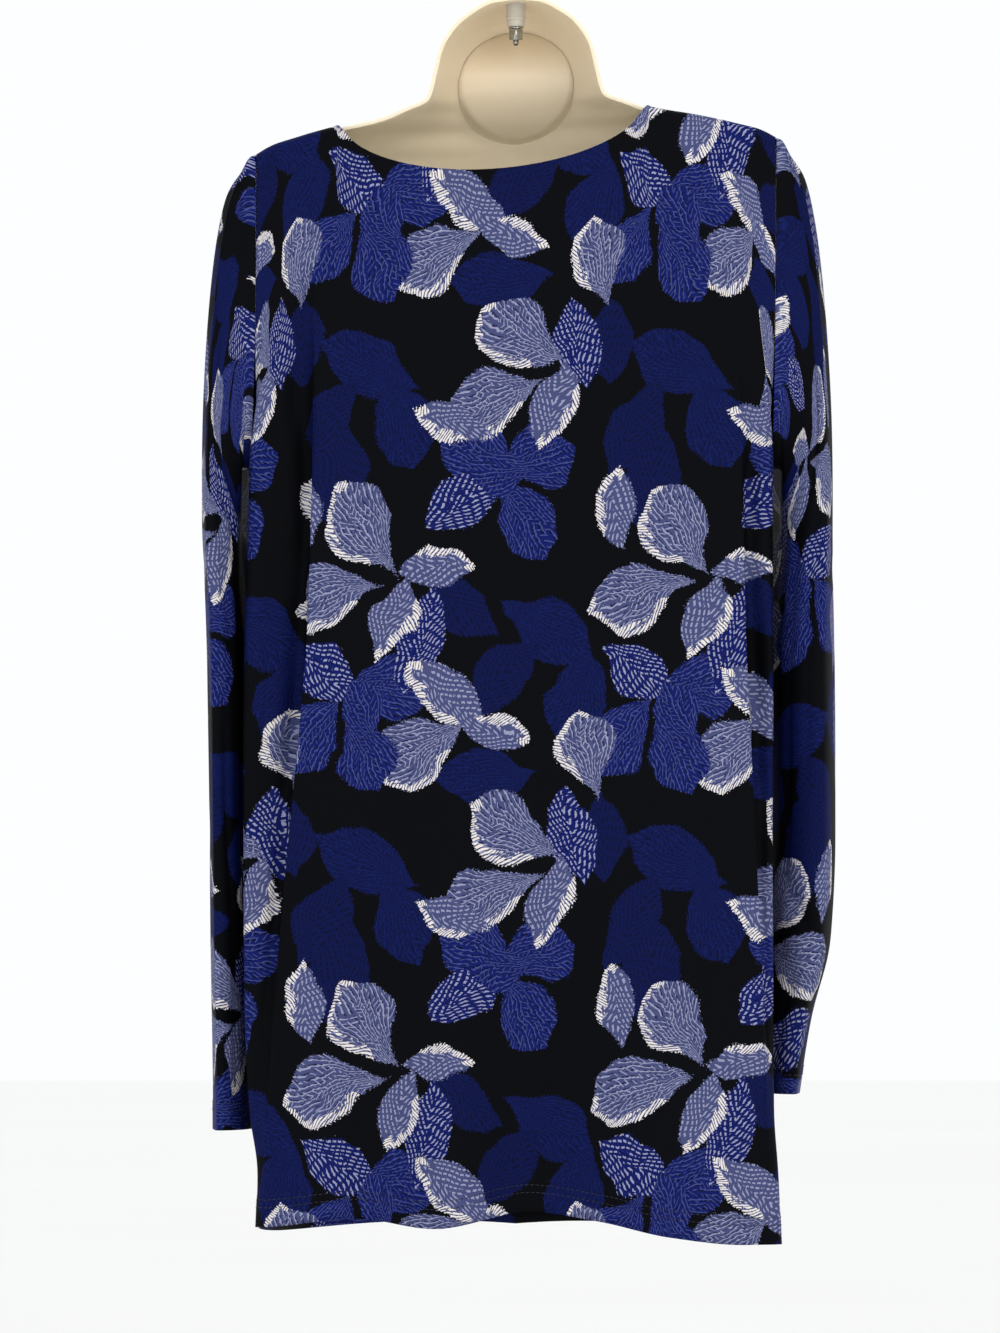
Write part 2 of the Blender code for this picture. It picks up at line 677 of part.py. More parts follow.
def make_form(look):
    columns = [i / FORM_COLUMNS for i in range(FORM_COLUMNS + 1)]
    form = sheet("torso_form", columns, form_levels(), form_point, look, FORM_WALL, closed=True)
    form.modifiers["Wall"].offset = 1.0
    boss = cylinder("form_boss", BOSS_R, BOSS_END_Z, BOSS_TOP_Z, look)
    boss.hide_render = True
    boss.display_type = "WIRE"
    join = form.modifiers.new("Boss", "BOOLEAN")
    join.operation = "UNION"
    join.object = boss
    bored(form, DRILL_R, BOSS_END_Z, FORM_ROWS[0].z)


def hook_line():
    """The wire's middle line, from the nut up the shank and round the crook."""
    middle = CROOK_R + WIRE_R
    centre_z = -CROOK_R
    line = [Vector((0.0, 0.0, z)) for z in SHANK_LEVELS + [SHANK_TOP_Z]]
    for i in range(1, SHANK_PARTS):
        line.append(hermite(
            Vector((0.0, 0.0, SHANK_TOP_Z)), Vector((middle, 0.0, centre_z)),
            Vector((0.0, 0.0, SHANK_REACH)), Vector((0.0, 0.0, SHANK_REACH)), i / SHANK_PARTS,
        ))
    for i in range(CROOK_PARTS + 1):
        angle = math.radians(CROOK_TURN) * i / CROOK_PARTS
        line.append(Vector((middle * math.cos(angle), 0.0, centre_z + middle * math.sin(angle))))
    return line


def make_hook(look):
    curve = bpy.data.curves.new("hook", "CURVE")
    curve.dimensions = "3D"
    curve.bevel_depth = WIRE_R * MM
    curve.bevel_resolution = 2
    curve.use_fill_caps = True
    line = hook_line()
    spline = curve.splines.new("POLY")
    spline.points.add(len(line) - 1)
    for point, place in zip(spline.points, line):
        point.co = (*(place * MM), 1.0)
    curve.materials.append(look)
    made = bpy.data.objects.new("hook", curve)
    bpy.context.scene.collection.objects.link(made)


def make_fastening(look):
    washer_top = BOSS_END_Z - FIT_GAP
    washer = cylinder("hook_washer", WASHER_R, washer_top - WASHER_THICK, washer_top, look)
    bored(washer, DRILL_R, washer_top - WASHER_THICK, washer_top)
    nut_top = washer_top - WASHER_THICK - FIT_GAP
    nut = cylinder("hook_nut", NUT_R, nut_top - NUT_TALL, nut_top, look, sides=6)
    bored(nut, DRILL_R, nut_top - NUT_TALL, nut_top)


def make_tunic(look):
    rows = YOKE_ROWS + [1.0 + share for share in HEM_SHARES]
    sheet(
        "back_panel", panel_columns(LEFT_BACK_STATIONS, RIGHT_BACK_STATIONS), rows,
        lambda column, row: back_panel_point(*column, row), look, CLOTH,
    )
    sheet(
        "front_panel", panel_columns(LEFT_FRONT_STATIONS, RIGHT_FRONT_STATIONS), rows,
        lambda column, row: front_panel_point(*column, row), look, CLOTH,
    )
    around = [i / (2 * len(YOKE_ROWS) - 2) for i in range(2 * len(YOKE_ROWS) - 1)]
    sleeve_rows = CAP_ROWS + [1.0 + share for share in SLEEVE_SHARES]
    for side, name in ((1.0, "sleeve_left"), (-1.0, "sleeve_right")):
        sheet(
            name, around, sleeve_rows,
            lambda column, row, side=side: sleeve_point(side, column, row), look, CLOTH,
            closed=True,
        )


def clear_scene():
    for old in list(bpy.data.objects):
        bpy.data.objects.remove(old)


def main():
    clear_scene()
    jersey = material("printed_jersey", (0.01, 0.02, 0.12), 0.65)
    plastic = material("frosted_plastic", (0.78, 0.68, 0.50), 0.35)
    steel = material("plated_steel", (0.62, 0.62, 0.60), 0.22, metallic=1.0)
    make_tunic(jersey)
    make_form(plastic)
    make_hook(steel)
    make_fastening(steel)


main()
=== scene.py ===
"""Dresses the tunic top and its torso form: cloth, sewing, plastic, steel, stage and camera.

The frame is in metres, +Z up, with the wearer's front on -Y and the wearer's left on +X. The
tables and shape functions below work in millimetres, and MM turns their points to metres.
"""
import bisect
import functools
import math

import bmesh
import bpy
import numpy as np
from bpy.props import FloatProperty, FloatVectorProperty, PointerProperty
from mathutils import Matrix, Vector


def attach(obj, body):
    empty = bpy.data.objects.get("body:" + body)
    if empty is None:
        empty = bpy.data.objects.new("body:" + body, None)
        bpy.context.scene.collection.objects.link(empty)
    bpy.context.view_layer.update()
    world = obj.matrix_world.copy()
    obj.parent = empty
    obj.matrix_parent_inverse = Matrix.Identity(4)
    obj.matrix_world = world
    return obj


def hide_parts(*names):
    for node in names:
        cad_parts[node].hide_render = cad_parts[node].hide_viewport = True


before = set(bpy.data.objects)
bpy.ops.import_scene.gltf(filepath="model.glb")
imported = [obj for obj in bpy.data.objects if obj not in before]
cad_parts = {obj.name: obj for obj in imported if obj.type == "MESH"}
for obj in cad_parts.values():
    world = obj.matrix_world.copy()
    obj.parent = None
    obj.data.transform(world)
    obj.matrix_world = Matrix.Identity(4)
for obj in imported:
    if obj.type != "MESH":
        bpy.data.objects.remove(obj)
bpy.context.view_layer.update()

bl_info = {
    "name": "Tunic top on a torso form",
    "version": (1, 0, 0),
    "blender": (4, 5, 0),
    "location": "View3D > Sidebar > Tunic",
    "description": "Builds the cloth, sewing, torso form, hook and stage of a printed tunic top",
    "category": "Add Mesh",
}

MM = 0.001


def linear(code):
    """An sRGB hex colour as linear values."""
    values = [int(code[i:i + 2], 16) / 255 for i in (1, 3, 5)]
    return [v / 12.92 if v <= 0.04045 else ((v + 0.055) / 1.055) ** 2.4 for v in values]


def smooth(share):
    share = min(1.0, max(0.0, share))
    return share * share * (3.0 - 2.0 * share)


def mix(first, last, share):
    return first + (last - first) * share


def hermite(first, last, leave, arrive, t):
    """The cubic between two values or points, with its rates at both ends."""
    return (
        first * (2 * t**3 - 3 * t**2 + 1)
        + leave * (t**3 - 2 * t**2 + t)
        + last * (3 * t**2 - 2 * t**3)
        + arrive * (t**3 - t**2)
    )


class Table:
    """Named columns against a height or a place, read on a smooth curve that keeps to its rows."""

    def __init__(self, names, rows):
        columns = list(zip(*sorted(rows)))
        self.at = columns[0]
        self.values = dict(zip(names.split()[1:], columns[1:]))
        self.rates = {name: self.bends(column) for name, column in self.values.items()}

    def bends(self, column):
        slopes = [
            (column[k + 1] - column[k]) / (self.at[k + 1] - self.at[k])
            for k in range(len(column) - 1)
        ]
        inner = [0.0 if a * b <= 0 else 2 * a * b / (a + b) for a, b in zip(slopes, slopes[1:])]
        return [slopes[0]] + inner + [slopes[-1]]

    def read(self, name, at):
        column = self.values[name]
        if at <= self.at[0]:
            return column[0]
        if at >= self.at[-1]:
            return column[-1]
        i = bisect.bisect_right(self.at, at) - 1
        run = self.at[i + 1] - self.at[i]
        rates = self.rates[name]
        t = (at - self.at[i]) / run
        return hermite(column[i], column[i + 1], rates[i] * run, rates[i + 1] * run, t)


# Torso form, as in the solids
RIM_BEND_START = 140.0
RIM_BEND_RUN = 40.0
RIM_BEND = 25.0
LEAN = 0.033
NECK_DISH_Z = -135.0
NECK_DISH_HALF = 34.5
NECK_DISH_Y = -31.0
NECK_DISH_RISE = 29.0
NECK_DISH_SLOPE = 0.28
DISH_R = 37.2
DISH_TALL = 35.2
DISH_Z = -131.5
DISH_LIFT = 2.5
DISH_STEP = 4.5
# Half width of the painted highlight along the dish's outline
DISH_LINE = 1.0
FORM_ROWS = [
    (-78.0, 38.0, 0.0, 44.0, 2.0),
    (-79.5, 38.0, 15.0, 58.0, 2.0),
    (-85.0, 38.0, 27.0, 74.0, 2.0),
    (-95.0, 38.0, 40.0, 86.0, 2.0),
    (-110.0, 38.0, 49.5, 93.0, 2.0),
    (-128.0, 38.0, 54.0, 96.0, 2.0),
    (-141.7, 38.0, 58.0, 99.0, 1.9),
    (-148.5, 38.0, 73.0, 101.0, 1.7),
    (-154.0, 38.0, 87.0, 103.0, 1.6),
    (-160.6, 38.0, 119.0, 106.0, 1.5),
    (-170.6, 38.0, 154.0, 109.0, 1.4),
    (-178.0, 38.0, 168.0, 112.0, 1.45),
    (-200.0, 38.0, 177.0, 120.0, 1.6),
    (-240.0, 36.0, 179.0, 131.0, 1.9),
    (-300.0, 29.0, 172.0, 142.0, 2.1),
    (-345.0, 24.0, 157.0, 145.0, 2.2),
    (-400.0, 21.0, 148.0, 144.0, 2.2),
    (-470.0, 20.0, 134.0, 131.0, 2.2),
    (-530.0, 20.0, 127.0, 118.0, 2.2),
    (-600.0, 20.0, 137.0, 123.0, 2.2),
    (-690.0, 20.0, 152.0, 133.0, 2.2),
    (-770.0, 20.0, 155.0, 135.0, 2.2),
]
FORM = Table("z rim half depth power", FORM_ROWS)
SHOULDER_TOP_Z = -141.0
SHOULDER_LOW_Z = -240.0
SHOULDER_FOOT_Z = -178.0
SHOULDER = Table(
    "half z", [(row[2], row[0]) for row in FORM_ROWS if SHOULDER_FOOT_Z <= row[0] <= SHOULDER_TOP_Z]
)

# Tunic, as in the solids
CLOTH = 1.2
SEAM_GAP = 0.3
REST_GAP = 0.5
RIM_MARGIN = 1.2
TOP_SEARCHES = 14
CHEST_Z = -385.0
SEAM_Y = 34.0
BACK_Y = 48.0
WIDEST_Y = 33.0
SHOULDER_BEND = 5.5
TIP_X = 168.0
NECK_X = {1.0: 116.0, -1.0: 86.0}
NECK_BACK_RUN = 45.7
NECK_BACK_POWER = 0.9
NECK_EDGE_RUN = 8.0
NECK_FRONT_DROP = 95.0
NECK_FRONT_POWER = 2.0
FRONT_NECK_SHARES = (0.60, 0.50)
BACK_POWER = 4.5
FRONT_POWER = 2.1
CREST = 0.70
WALL_END = 0.80
RELIEF_END = 0.97
UNDERCUT = 3.0
UNDERCUT_FOLD = 16.0
BACK_FALL_POWER = 2.2
BACK_EDGE_POWER = 0.667
FRONT_EDGE_SHARE = 0.72
FRONT_LIFT_SHARE = 0.5
FRONT_HOLLOW = 10.0
FRONT_REACH = 285.0
FORM_EASE = 3.2
SHOULDER_EASE = 1.5
CHEST_EASE = 3.8
SHOULDER_END_Z = -205.0
TIP_EASE = 1.4
FOLD_RUN = 6.0
BODY = Table(
    "z left right front seam left_crest right_crest left_fold right_fold wave",
    [
        (-226.0, 172.0, 166.4, 150.0, 26.0, 132.0, 147.0, 0.0, 0.0, 0.0),
        (-296.0, 172.0, 166.4, 155.0, 26.0, 132.0, 147.0, 4.0, 0.0, 0.0),
        (-385.0, 172.5, 166.4, 160.0, 26.0, 132.0, 147.0, 14.0, 5.0, 0.0),
        (-471.0, 175.0, 166.4, 160.0, 26.0, 134.0, 148.0, 17.0, 13.0, 0.0),
        (-585.0, 176.5, 166.4, 158.0, 24.0, 143.0, 153.0, 16.0, 13.0, 0.5),
        (-720.0, 175.5, 166.4, 160.0, 20.0, 156.0, 160.0, 10.0, 7.0, 3.0),
        (-800.0, 172.5, 167.0, 162.0, 14.0, 162.0, 163.0, 4.0, 2.0, 7.0),
        (-840.0, 167.0, 169.7, 163.0, 12.0, 163.0, 165.0, 2.0, 1.0, 10.0),
        (-890.0, 168.5, 171.5, 164.0, 12.0, 165.0, 167.0, 1.0, 0.0, 12.0),
    ],
)
HEM = Table(
    "x z swing",
    [
        (-172.0, -886.0, 0.2),
        (-130.0, -886.0, 0.7),
        (-88.0, -881.0, 1.0),
        (-50.0, -871.5, -0.1),
        (-7.0, -865.0, -1.0),
        (43.0, -875.5, 1.0),
        (86.0, -869.0, -0.7),
        (130.0, -874.5, 0.6),
        (172.0, -875.5, 0.1),
    ],
)
FRONT_HEM_WAVES = 3
FRONT_HEM_DIP = 3.0
SLEEVES = {
    1.0: Table(
        "z inner outer half_depth mid_y power",
        [
            (-425.0, 172.0, 204.0, 58.0, -12.0, 2.3),
            (-520.0, 168.0, 200.5, 56.0, -24.0, 2.2),
            (-620.0, 170.0, 199.5, 52.0, -24.0, 2.2),
            (-720.0, 170.0, 198.0, 48.0, -22.0, 2.2),
            (-813.0, 169.0, 197.0, 46.0, -22.0, 2.3),
        ],
    ),
    -1.0: Table(
        "z inner outer half_depth mid_y power",
        [
            (-425.0, 170.0, 206.0, 58.0, -12.0, 2.3),
            (-520.0, 163.0, 207.5, 56.0, -26.0, 2.2),
            (-620.0, 164.0, 208.5, 52.0, -32.0, 2.2),
            (-690.0, 162.0, 205.0, 49.0, -34.0, 2.2),
            (-740.0, 158.0, 193.0, 47.0, -36.0, 2.3),
            (-790.0, 155.0, 185.0, 46.0, -38.0, 2.3),
        ],
    ),
}
SLEEVE_TOP_Z = -425.0
SLEEVE_SHEAR = 0.20
UNDERARM_CLEAR = 7.0
UNDERARM_SHARE = 0.17
UNDERARM_GAP = 0.6
UNDERARM_TURN = 0.3
SLEEVE_CLEAR = 3.0
CLEAR_RUN = 100.0
UNDERARM_LEAVE = 12.0
CAP_LEAVE = 72.0
UNDERARM_REACH = 14.0
CAP_REACH = 30.0
CAP_FALL = 35.0
UNDERARM_ARRIVE = 36.0
CAP_ARRIVE = 250.0
UNDERARM_END = 0.6
CAP_TURN_END = 0.7
HEADING_SHARE = 0.95
HEADING_ROW = 0.05
HEADING_STEP = 0.01
HEADING_SHIFTS = (-0.04, -0.02, 0.0, 0.02, 0.04)

# How finely the cloth is divided
FOLD_STATIONS = [CREST, 0.725, 0.75, 0.775, WALL_END, 0.87, 0.94, 1.0]
BACK_STATIONS = [0.12, 0.24, 0.35, 0.45, 0.53, 0.58, 0.615] + FOLD_STATIONS
BACK_STATIONS_RIGHT = [0.12, 0.23, 0.32, 0.375, 0.41, 0.50, 0.60] + FOLD_STATIONS
FRONT_STATIONS = [0.10, 0.20, 0.30, 0.39, 0.45, 0.49, 0.52, 0.55, 0.60, 0.70, 0.80, 0.90, 1.0]
FRONT_STATIONS_RIGHT = [0.10, 0.20, 0.29, 0.35, 0.39, 0.42, 0.45, 0.50, 0.60, 0.70, 0.80, 0.90, 1.0]
YOKE_ROWS = [0.0, 0.036, 0.055, 0.074, 0.12, 0.20, 0.30, 0.41, 0.53, 0.65, 0.77, 0.89, 1.0]
SECTION_STEPS = 96
DRAPE_STEPS = 80
RING_LEVELS = 4


def rim_y(x, z):
    bend = RIM_BEND * (max(0.0, abs(x) - RIM_BEND_START) / RIM_BEND_RUN) ** 2
    return FORM.read("rim", z) - bend


def form_front(x, z):
    """The form's front surface at a place seen from the front, or None past its edge."""
    half = FORM.read("half", z)
    if abs(x) >= half:
        return None
    power = FORM.read("power", z)
    bulge = (1.0 - (abs(x) / half) ** power) ** (1.0 / power)
    return rim_y(x, z) - FORM.read("depth", z) * bulge


def form_point(across, z):
    """A point of the form's outer face, with the strength of the painted highlight along the neck dish's outline:
    across runs from rim to rim.
    """
    half = FORM.read("half", z)
    power = FORM.read("power", z)
    angle = math.pi * across
    x = half * math.copysign(abs(math.cos(angle)) ** (2 / power), math.cos(angle))
    y = rim_y(x, z) - FORM.read("depth", z) * max(0.0, math.sin(angle)) ** (2 / power)
    from_dish = (z - NECK_DISH_Z) / NECK_DISH_HALF
    dish = NECK_DISH_Y - NECK_DISH_RISE * from_dish**2 + NECK_DISH_SLOPE * (z - NECK_DISH_Z)
    dish += DISH_LIFT
    # Painted highlight: a narrow line of paler colour along the dish's outline, returned with the point
    from_edge = DISH_R - math.hypot(x, (z - DISH_Z) * DISH_R / DISH_TALL)
    dish_highlight_line = math.exp(-((from_edge / DISH_LINE) ** 2))
    if z > SHOULDER_FOOT_Z:
        y = mix(y, dish, smooth(from_edge / DISH_STEP + 0.5))
    return Vector((x, y, z - LEAN * x)), dish_highlight_line


def form_top(x, y):
    """How high the form's shoulder reaches at a place, or None away from it."""
    def inside(z):
        front = form_front(x, z)
        return front is not None and front < y < rim_y(x, z) + RIM_MARGIN

    high, low = SHOULDER_TOP_Z, SHOULDER_LOW_Z
    if not inside(low):
        return None
    for _ in range(TOP_SEARCHES):
        middle = (high + low) / 2
        high, low = (high, middle) if inside(middle) else (middle, low)
    return high - LEAN * x


def off_form(point):
    """Lifts a point of cloth clear of the form's shoulder."""
    top = form_top(point.x, point.y) if point.z > SHOULDER_END_Z else None
    if top is not None:
        ease = mix(SHOULDER_EASE, CHEST_EASE, smooth((SEAM_Y - point.y) / SEAM_Y))
        point.z = max(point.z, top + ease)
    return point


def edge_x(side, z):
    return BODY.read("left" if side > 0 else "right", z)


def crest_x(side, z):
    return BODY.read("left_crest" if side > 0 else "right_crest", z)


def body_side_x(side, y, z):
    """How far out the front half of the body lies at a depth."""
    back_of = min(1.0, max(0.0, (WIDEST_Y - y) / BODY.read("front", z)))
    return edge_x(side, z) * (1 - back_of**FRONT_POWER) ** (1 / FRONT_POWER)


def lengths(points):
    """The length along a line of points up to each of them."""
    run = [0.0]
    for a, b in zip(points, points[1:]):
        run.append(run[-1] + math.dist(a, b))
    return run


def along(points, run, at):
    """The point of a line at a length along it."""
    at = min(max(at, 0.0), run[-1])
    i = min(max(bisect.bisect_left(run, at), 1), len(run) - 1)
    t = (at - run[i - 1]) / max(run[i] - run[i - 1], 1e-9)
    return [mix(a, b, t) for a, b in zip(points[i - 1], points[i])]


@functools.lru_cache(maxsize=None)
def half_section(side, level):
    """The ring of cloth at a level, from the middle of the back to the middle of the front."""
    z = level / RING_LEVELS
    width = edge_x(side, z)
    front = BODY.read("front", z)
    points = []
    for i in range(2 * SECTION_STEPS + 1):
        angle = math.pi / 2 * i / SECTION_STEPS
        back = angle <= math.pi / 2
        power = BACK_POWER if back else FRONT_POWER
        depth = BACK_Y - WIDEST_Y if back else front
        x = width * abs(math.sin(angle)) ** (2 / power)
        y = WIDEST_Y + math.copysign(abs(math.cos(angle)) ** (2 / power), math.cos(angle)) * depth
        points.append((x, y))
    return points, lengths(points)


def hang(side, share, z, front):
    """The body below the chest. Share runs from the middle of the panel to the side seam."""
    points, run = half_section(side, round(z * RING_LEVELS))
    seam = run[SECTION_STEPS] + BODY.read("seam", z)
    if front:
        x, y = along(points, run, run[-1] + (seam + SEAM_GAP / 2 - run[-1]) * share)
        wave = math.cos(FRONT_HEM_WAVES * math.pi * share) * BODY.read("wave", z)
        return Vector((side * x, y - wave * (1 - share**4), z))
    seam -= SEAM_GAP / 2
    crest = crest_x(side, z)
    fold = BODY.read("left_fold" if side > 0 else "right_fold", z)
    wall = smooth((share - CREST) / (WALL_END - CREST))
    inside = crest * min(share, CREST) / CREST
    outside = (seam - crest - FOLD_RUN) * max(0.0, share - WALL_END) / (1 - WALL_END)
    x, y = along(points, run, inside + FOLD_RUN * wall + outside)
    relief = 1 - smooth((share - WALL_END) / (RELIEF_END - WALL_END))
    tuck = UNDERCUT * 4 * wall * (1 - wall) * fold / UNDERCUT_FOLD
    swing = HEM.read("swing", side * x) * BODY.read("wave", z)
    return Vector((side * (x - tuck), y - fold * wall * relief + swing * (1 - share**6), z))


def shoulder_z(x):
    """The height of the cloth over the form's shoulder."""
    ease = REST_GAP + TIP_EASE * smooth((abs(x) - RIM_BEND_START) / (TIP_X - RIM_BEND_START))
    return SHOULDER.read("z", abs(x)) + ease + CLOTH / 2 - LEAN * x


def chord_z(x):
    """The height of a straight line between the two ends of the shoulder seams at the neck."""
    return mix(shoulder_z(-NECK_X[-1.0]), shoulder_z(NECK_X[1.0]), (x + NECK_X[-1.0]) / sum(NECK_X.values()))


def top_place(side, share, neck_shares):
    """Where a line down the panel starts: its place across, and how open the neckline is there."""
    neck_share = neck_shares[0 if side > 0 else 1]
    if share >= neck_share:
        return side * mix(NECK_X[side], TIP_X, (share - neck_share) / (1 - neck_share)), 0.0
    turn = math.pi * (side * share + neck_shares[1]) / sum(neck_shares)
    middle = (NECK_X[1.0] - NECK_X[-1.0]) / 2
    return middle - sum(NECK_X.values()) / 2 * math.cos(turn), math.sin(turn)


@functools.lru_cache(maxsize=None)
def back_line(side, share):
    """What a line down the back starts and ends on: place, height, length, start and end."""
    neck_shares = [CREST * NECK_X[s] / crest_x(s, CHEST_Z) for s in (1.0, -1.0)]
    start_x, opening = top_place(side, share, neck_shares)
    flat = BACK_Y - SHOULDER_BEND - SEAM_Y
    bend = SHOULDER_BEND * math.pi / 2
    start = NECK_BACK_RUN * opening ** NECK_BACK_POWER
    top = shoulder_z(start_x)
    if opening > 0:
        top = mix(top, chord_z(start_x), smooth((start - flat) / (bend + NECK_EDGE_RUN)))
    total = flat + bend + top - SHOULDER_BEND - CHEST_Z
    return start_x, top, max(start, SEAM_GAP / 2), total, hang(side, share, CHEST_Z, False)


def back_yoke(side, share, down):
    """The back from the shoulder seam, over the form's rim and down to the chest."""
    start_x, top, start, total, end = back_line(side, share)
    flat = BACK_Y - SHOULDER_BEND - SEAM_Y
    bend = SHOULDER_BEND * math.pi / 2
    at = mix(start, total, down)
    turn = min(max(at - flat, 0.0), bend) / SHOULDER_BEND
    y = SEAM_Y + min(at, flat) + SHOULDER_BEND * math.sin(turn)
    below = max(0.0, at - flat - bend)
    z = top - SHOULDER_BEND * (1 - math.cos(turn)) - below
    fall = below / (total - flat - bend)
    drop = fall**BACK_FALL_POWER
    plain = Vector((mix(start_x, end.x, smooth(fall)), y + (end.y - BACK_Y) * drop, z))
    if fall <= 0:
        return off_form(plain)
    quarter = fall * math.pi / 2
    edge_z = mix(top - SHOULDER_BEND, CHEST_Z, math.sin(quarter) ** BACK_EDGE_POWER)
    edge_y = BACK_Y + (end.y - BACK_Y) * (1 - max(0.0, math.cos(quarter)) ** BACK_EDGE_POWER)
    edge = Vector((plain.x, edge_y, edge_z))
    return plain.lerp(edge, smooth((share - WALL_END) / (1 - WALL_END)))


def bends_in(above, middle, below):
    """Whether a drawn line would leave the middle point for a straight run past it."""
    first = middle - above
    second = below - middle
    return first.y * second.z - first.z * second.y <= 0


@functools.lru_cache(maxsize=None)
def front_line(side, share):
    """The line of cloth that is drawn tight over the form, from the neck or shoulder to the chest."""
    end = hang(side, share, CHEST_Z, True)
    start_x, opening = top_place(side, share, FRONT_NECK_SHARES)
    top = mix(shoulder_z(start_x), chord_z(start_x), smooth(opening / FRONT_LIFT_SHARE))
    top -= NECK_FRONT_DROP * opening**NECK_FRONT_POWER
    held = form_front(start_x, top + LEAN * start_x)
    start_y = SEAM_Y - SEAM_GAP / 2
    start = Vector((start_x, start_y if held is None else min(start_y, held - FORM_EASE), top))
    line = [start]
    for i in range(1, DRAPE_STEPS + 1):
        place = start.lerp(end, (i / DRAPE_STEPS) ** 2)
        if i < DRAPE_STEPS:
            held = form_front(place.x, place.z - FORM_EASE + LEAN * place.x)
            if held is None:
                continue
            place.y = held - FORM_EASE
        while len(line) > 1 and bends_in(line[-2], line[-1], place):
            line.pop()
        line.append(place)
    return start_x, top, end, line, lengths(line)


def front_yoke(side, share, down):
    """The front from the shoulder seam or the neckline down to the chest."""
    start_x, top, end, line, run = front_line(side, share)
    inner = Vector(along(line, run, run[-1] * down))
    ease = smooth(down)
    edge_y = mix(SEAM_Y - SEAM_GAP / 2, end.y, ease) - FRONT_REACH * down * (1 - down)
    edge_now = mix(start_x, end.x, ease) - side * FRONT_HOLLOW * math.sin(math.pi * down)
    edge = Vector((edge_now, edge_y, mix(top, CHEST_Z, ease)))
    return off_form(inner.lerp(edge, smooth((share - FRONT_EDGE_SHARE) / (1 - FRONT_EDGE_SHARE))))


def trimmed(point, side, share, row):
    """The armhole's edge stands back from the sleeve by half a seam gap."""
    if row < 1.0 and share >= 1.0:
        point.x -= side * SEAM_GAP / 2
    return point


def back_point(side, share, row):
    if row <= 1.0:
        return trimmed(back_yoke(side, share, row), side, share, row)
    x = hang(side, share, CHEST_Z, False).x
    return hang(side, share, mix(CHEST_Z, HEM.read("z", x), row - 1.0), False)


def front_point(side, share, row):
    if row <= 1.0:
        return trimmed(front_yoke(side, share, row), side, share, row)
    level = HEM.read("z", hang(side, 1.0, CHEST_Z, True).x)
    middle = (HEM.values["z"][0] + HEM.values["z"][-1]) / 2
    hem = mix(middle, level, share**2) + FRONT_HEM_DIP * math.sin(2 * math.pi * share)
    return hang(side, share, mix(CHEST_Z, hem, row - 1.0), True)


def sleeve_row(share):
    """Spreads the ring's points over the armhole as the panels' rows are spread."""
    place = share * (len(YOKE_ROWS) - 1)
    i = min(int(place), len(YOKE_ROWS) - 2)
    return mix(YOKE_ROWS[i], YOKE_ROWS[i + 1], place - i)


def armhole_point(side, around):
    """The armhole, from the underarm up the back to the shoulder and down the front."""
    around %= 1.0
    if around <= 0.5:
        return back_yoke(side, 1.0, sleeve_row(1 - 2 * around))
    return front_yoke(side, 1.0, sleeve_row(2 * around - 1))


def sleeve_ring(side, around, z):
    rows = SLEEVES[side]
    inner = rows.read("inner", z)
    outer = rows.read("outer", z)
    power = rows.read("power", z)
    angle = 2 * math.pi * around
    out = -math.copysign(abs(math.cos(angle)) ** (2 / power), math.cos(angle))
    back = math.copysign(abs(math.sin(angle)) ** (2 / power), math.sin(angle))
    mid_y = rows.read("mid_y", z)
    y = mid_y + rows.read("half_depth", z) * back
    x = (inner + outer) / 2 + (outer - inner) / 2 * out
    x += SLEEVE_SHEAR * (y - mid_y) * (1 - max(0.0, out))
    clear = mix(UNDERARM_CLEAR, SLEEVE_CLEAR, smooth((SLEEVE_TOP_Z - z) / CLEAR_RUN))
    return Vector((side * max(x, body_side_x(side, y, z) + clear), y, z))


@functools.lru_cache(maxsize=None)
def panel_heading(side, around):
    """The way in which the panel's cloth reaches the armhole, square to the seam."""
    seam = armhole_point(side, around + HEADING_STEP) - armhole_point(side, around - HEADING_STEP)
    panel = back_point if around <= 0.5 else front_point
    row = sleeve_row(abs(1 - 2 * around))
    heading = armhole_point(side, around) - panel(side, HEADING_SHARE, row + HEADING_ROW)
    return (heading - heading.project(seam)).normalized()


@functools.lru_cache(maxsize=None)
def cap_line(side, around):
    """The curve down the cap: start, rate there, end, rate there and how far up the ring it is."""
    end = sleeve_ring(side, around, SLEEVE_TOP_Z)
    upper = (1 - math.cos(2 * math.pi * around)) / 2
    near = [panel_heading(side, (around + shift) % 1.0) for shift in HEADING_SHIFTS]
    heading = sum(near, Vector()).normalized()
    heading.y *= mix(UNDERARM_TURN, 1.0, smooth(upper / CAP_TURN_END))
    leave = heading * mix(UNDERARM_LEAVE, CAP_LEAVE, upper)
    leave += Vector((side * mix(UNDERARM_REACH, CAP_REACH, upper), 0.0, -CAP_FALL * upper))
    turn = heading.angle(leave)
    apart = SEAM_GAP + CLOTH / 2 * math.sin(turn) - SEAM_GAP / 2 * math.cos(turn)
    apart += UNDERARM_GAP * (1 - smooth(upper / UNDERARM_END))
    start = armhole_point(side, around) + leave.normalized() * apart
    arrive = Vector((0.0, 0.0, -mix(UNDERARM_ARRIVE, CAP_ARRIVE, upper)))
    return start, leave, end, arrive, upper


def sleeve_point(side, around, row):
    around %= 1.0
    if row > 1.0:
        return sleeve_ring(side, around, mix(SLEEVE_TOP_Z, SLEEVES[side].at[0], row - 1.0))
    start, leave, end, arrive, upper = cap_line(side, around)
    point = hermite(start, end, leave, arrive, row)
    reach = UNDERARM_CLEAR * smooth(row / UNDERARM_SHARE) * (1 - smooth(upper / UNDERARM_END))
    point.x = side * max(side * point.x, side * start.x + reach)
    return off_form(point)


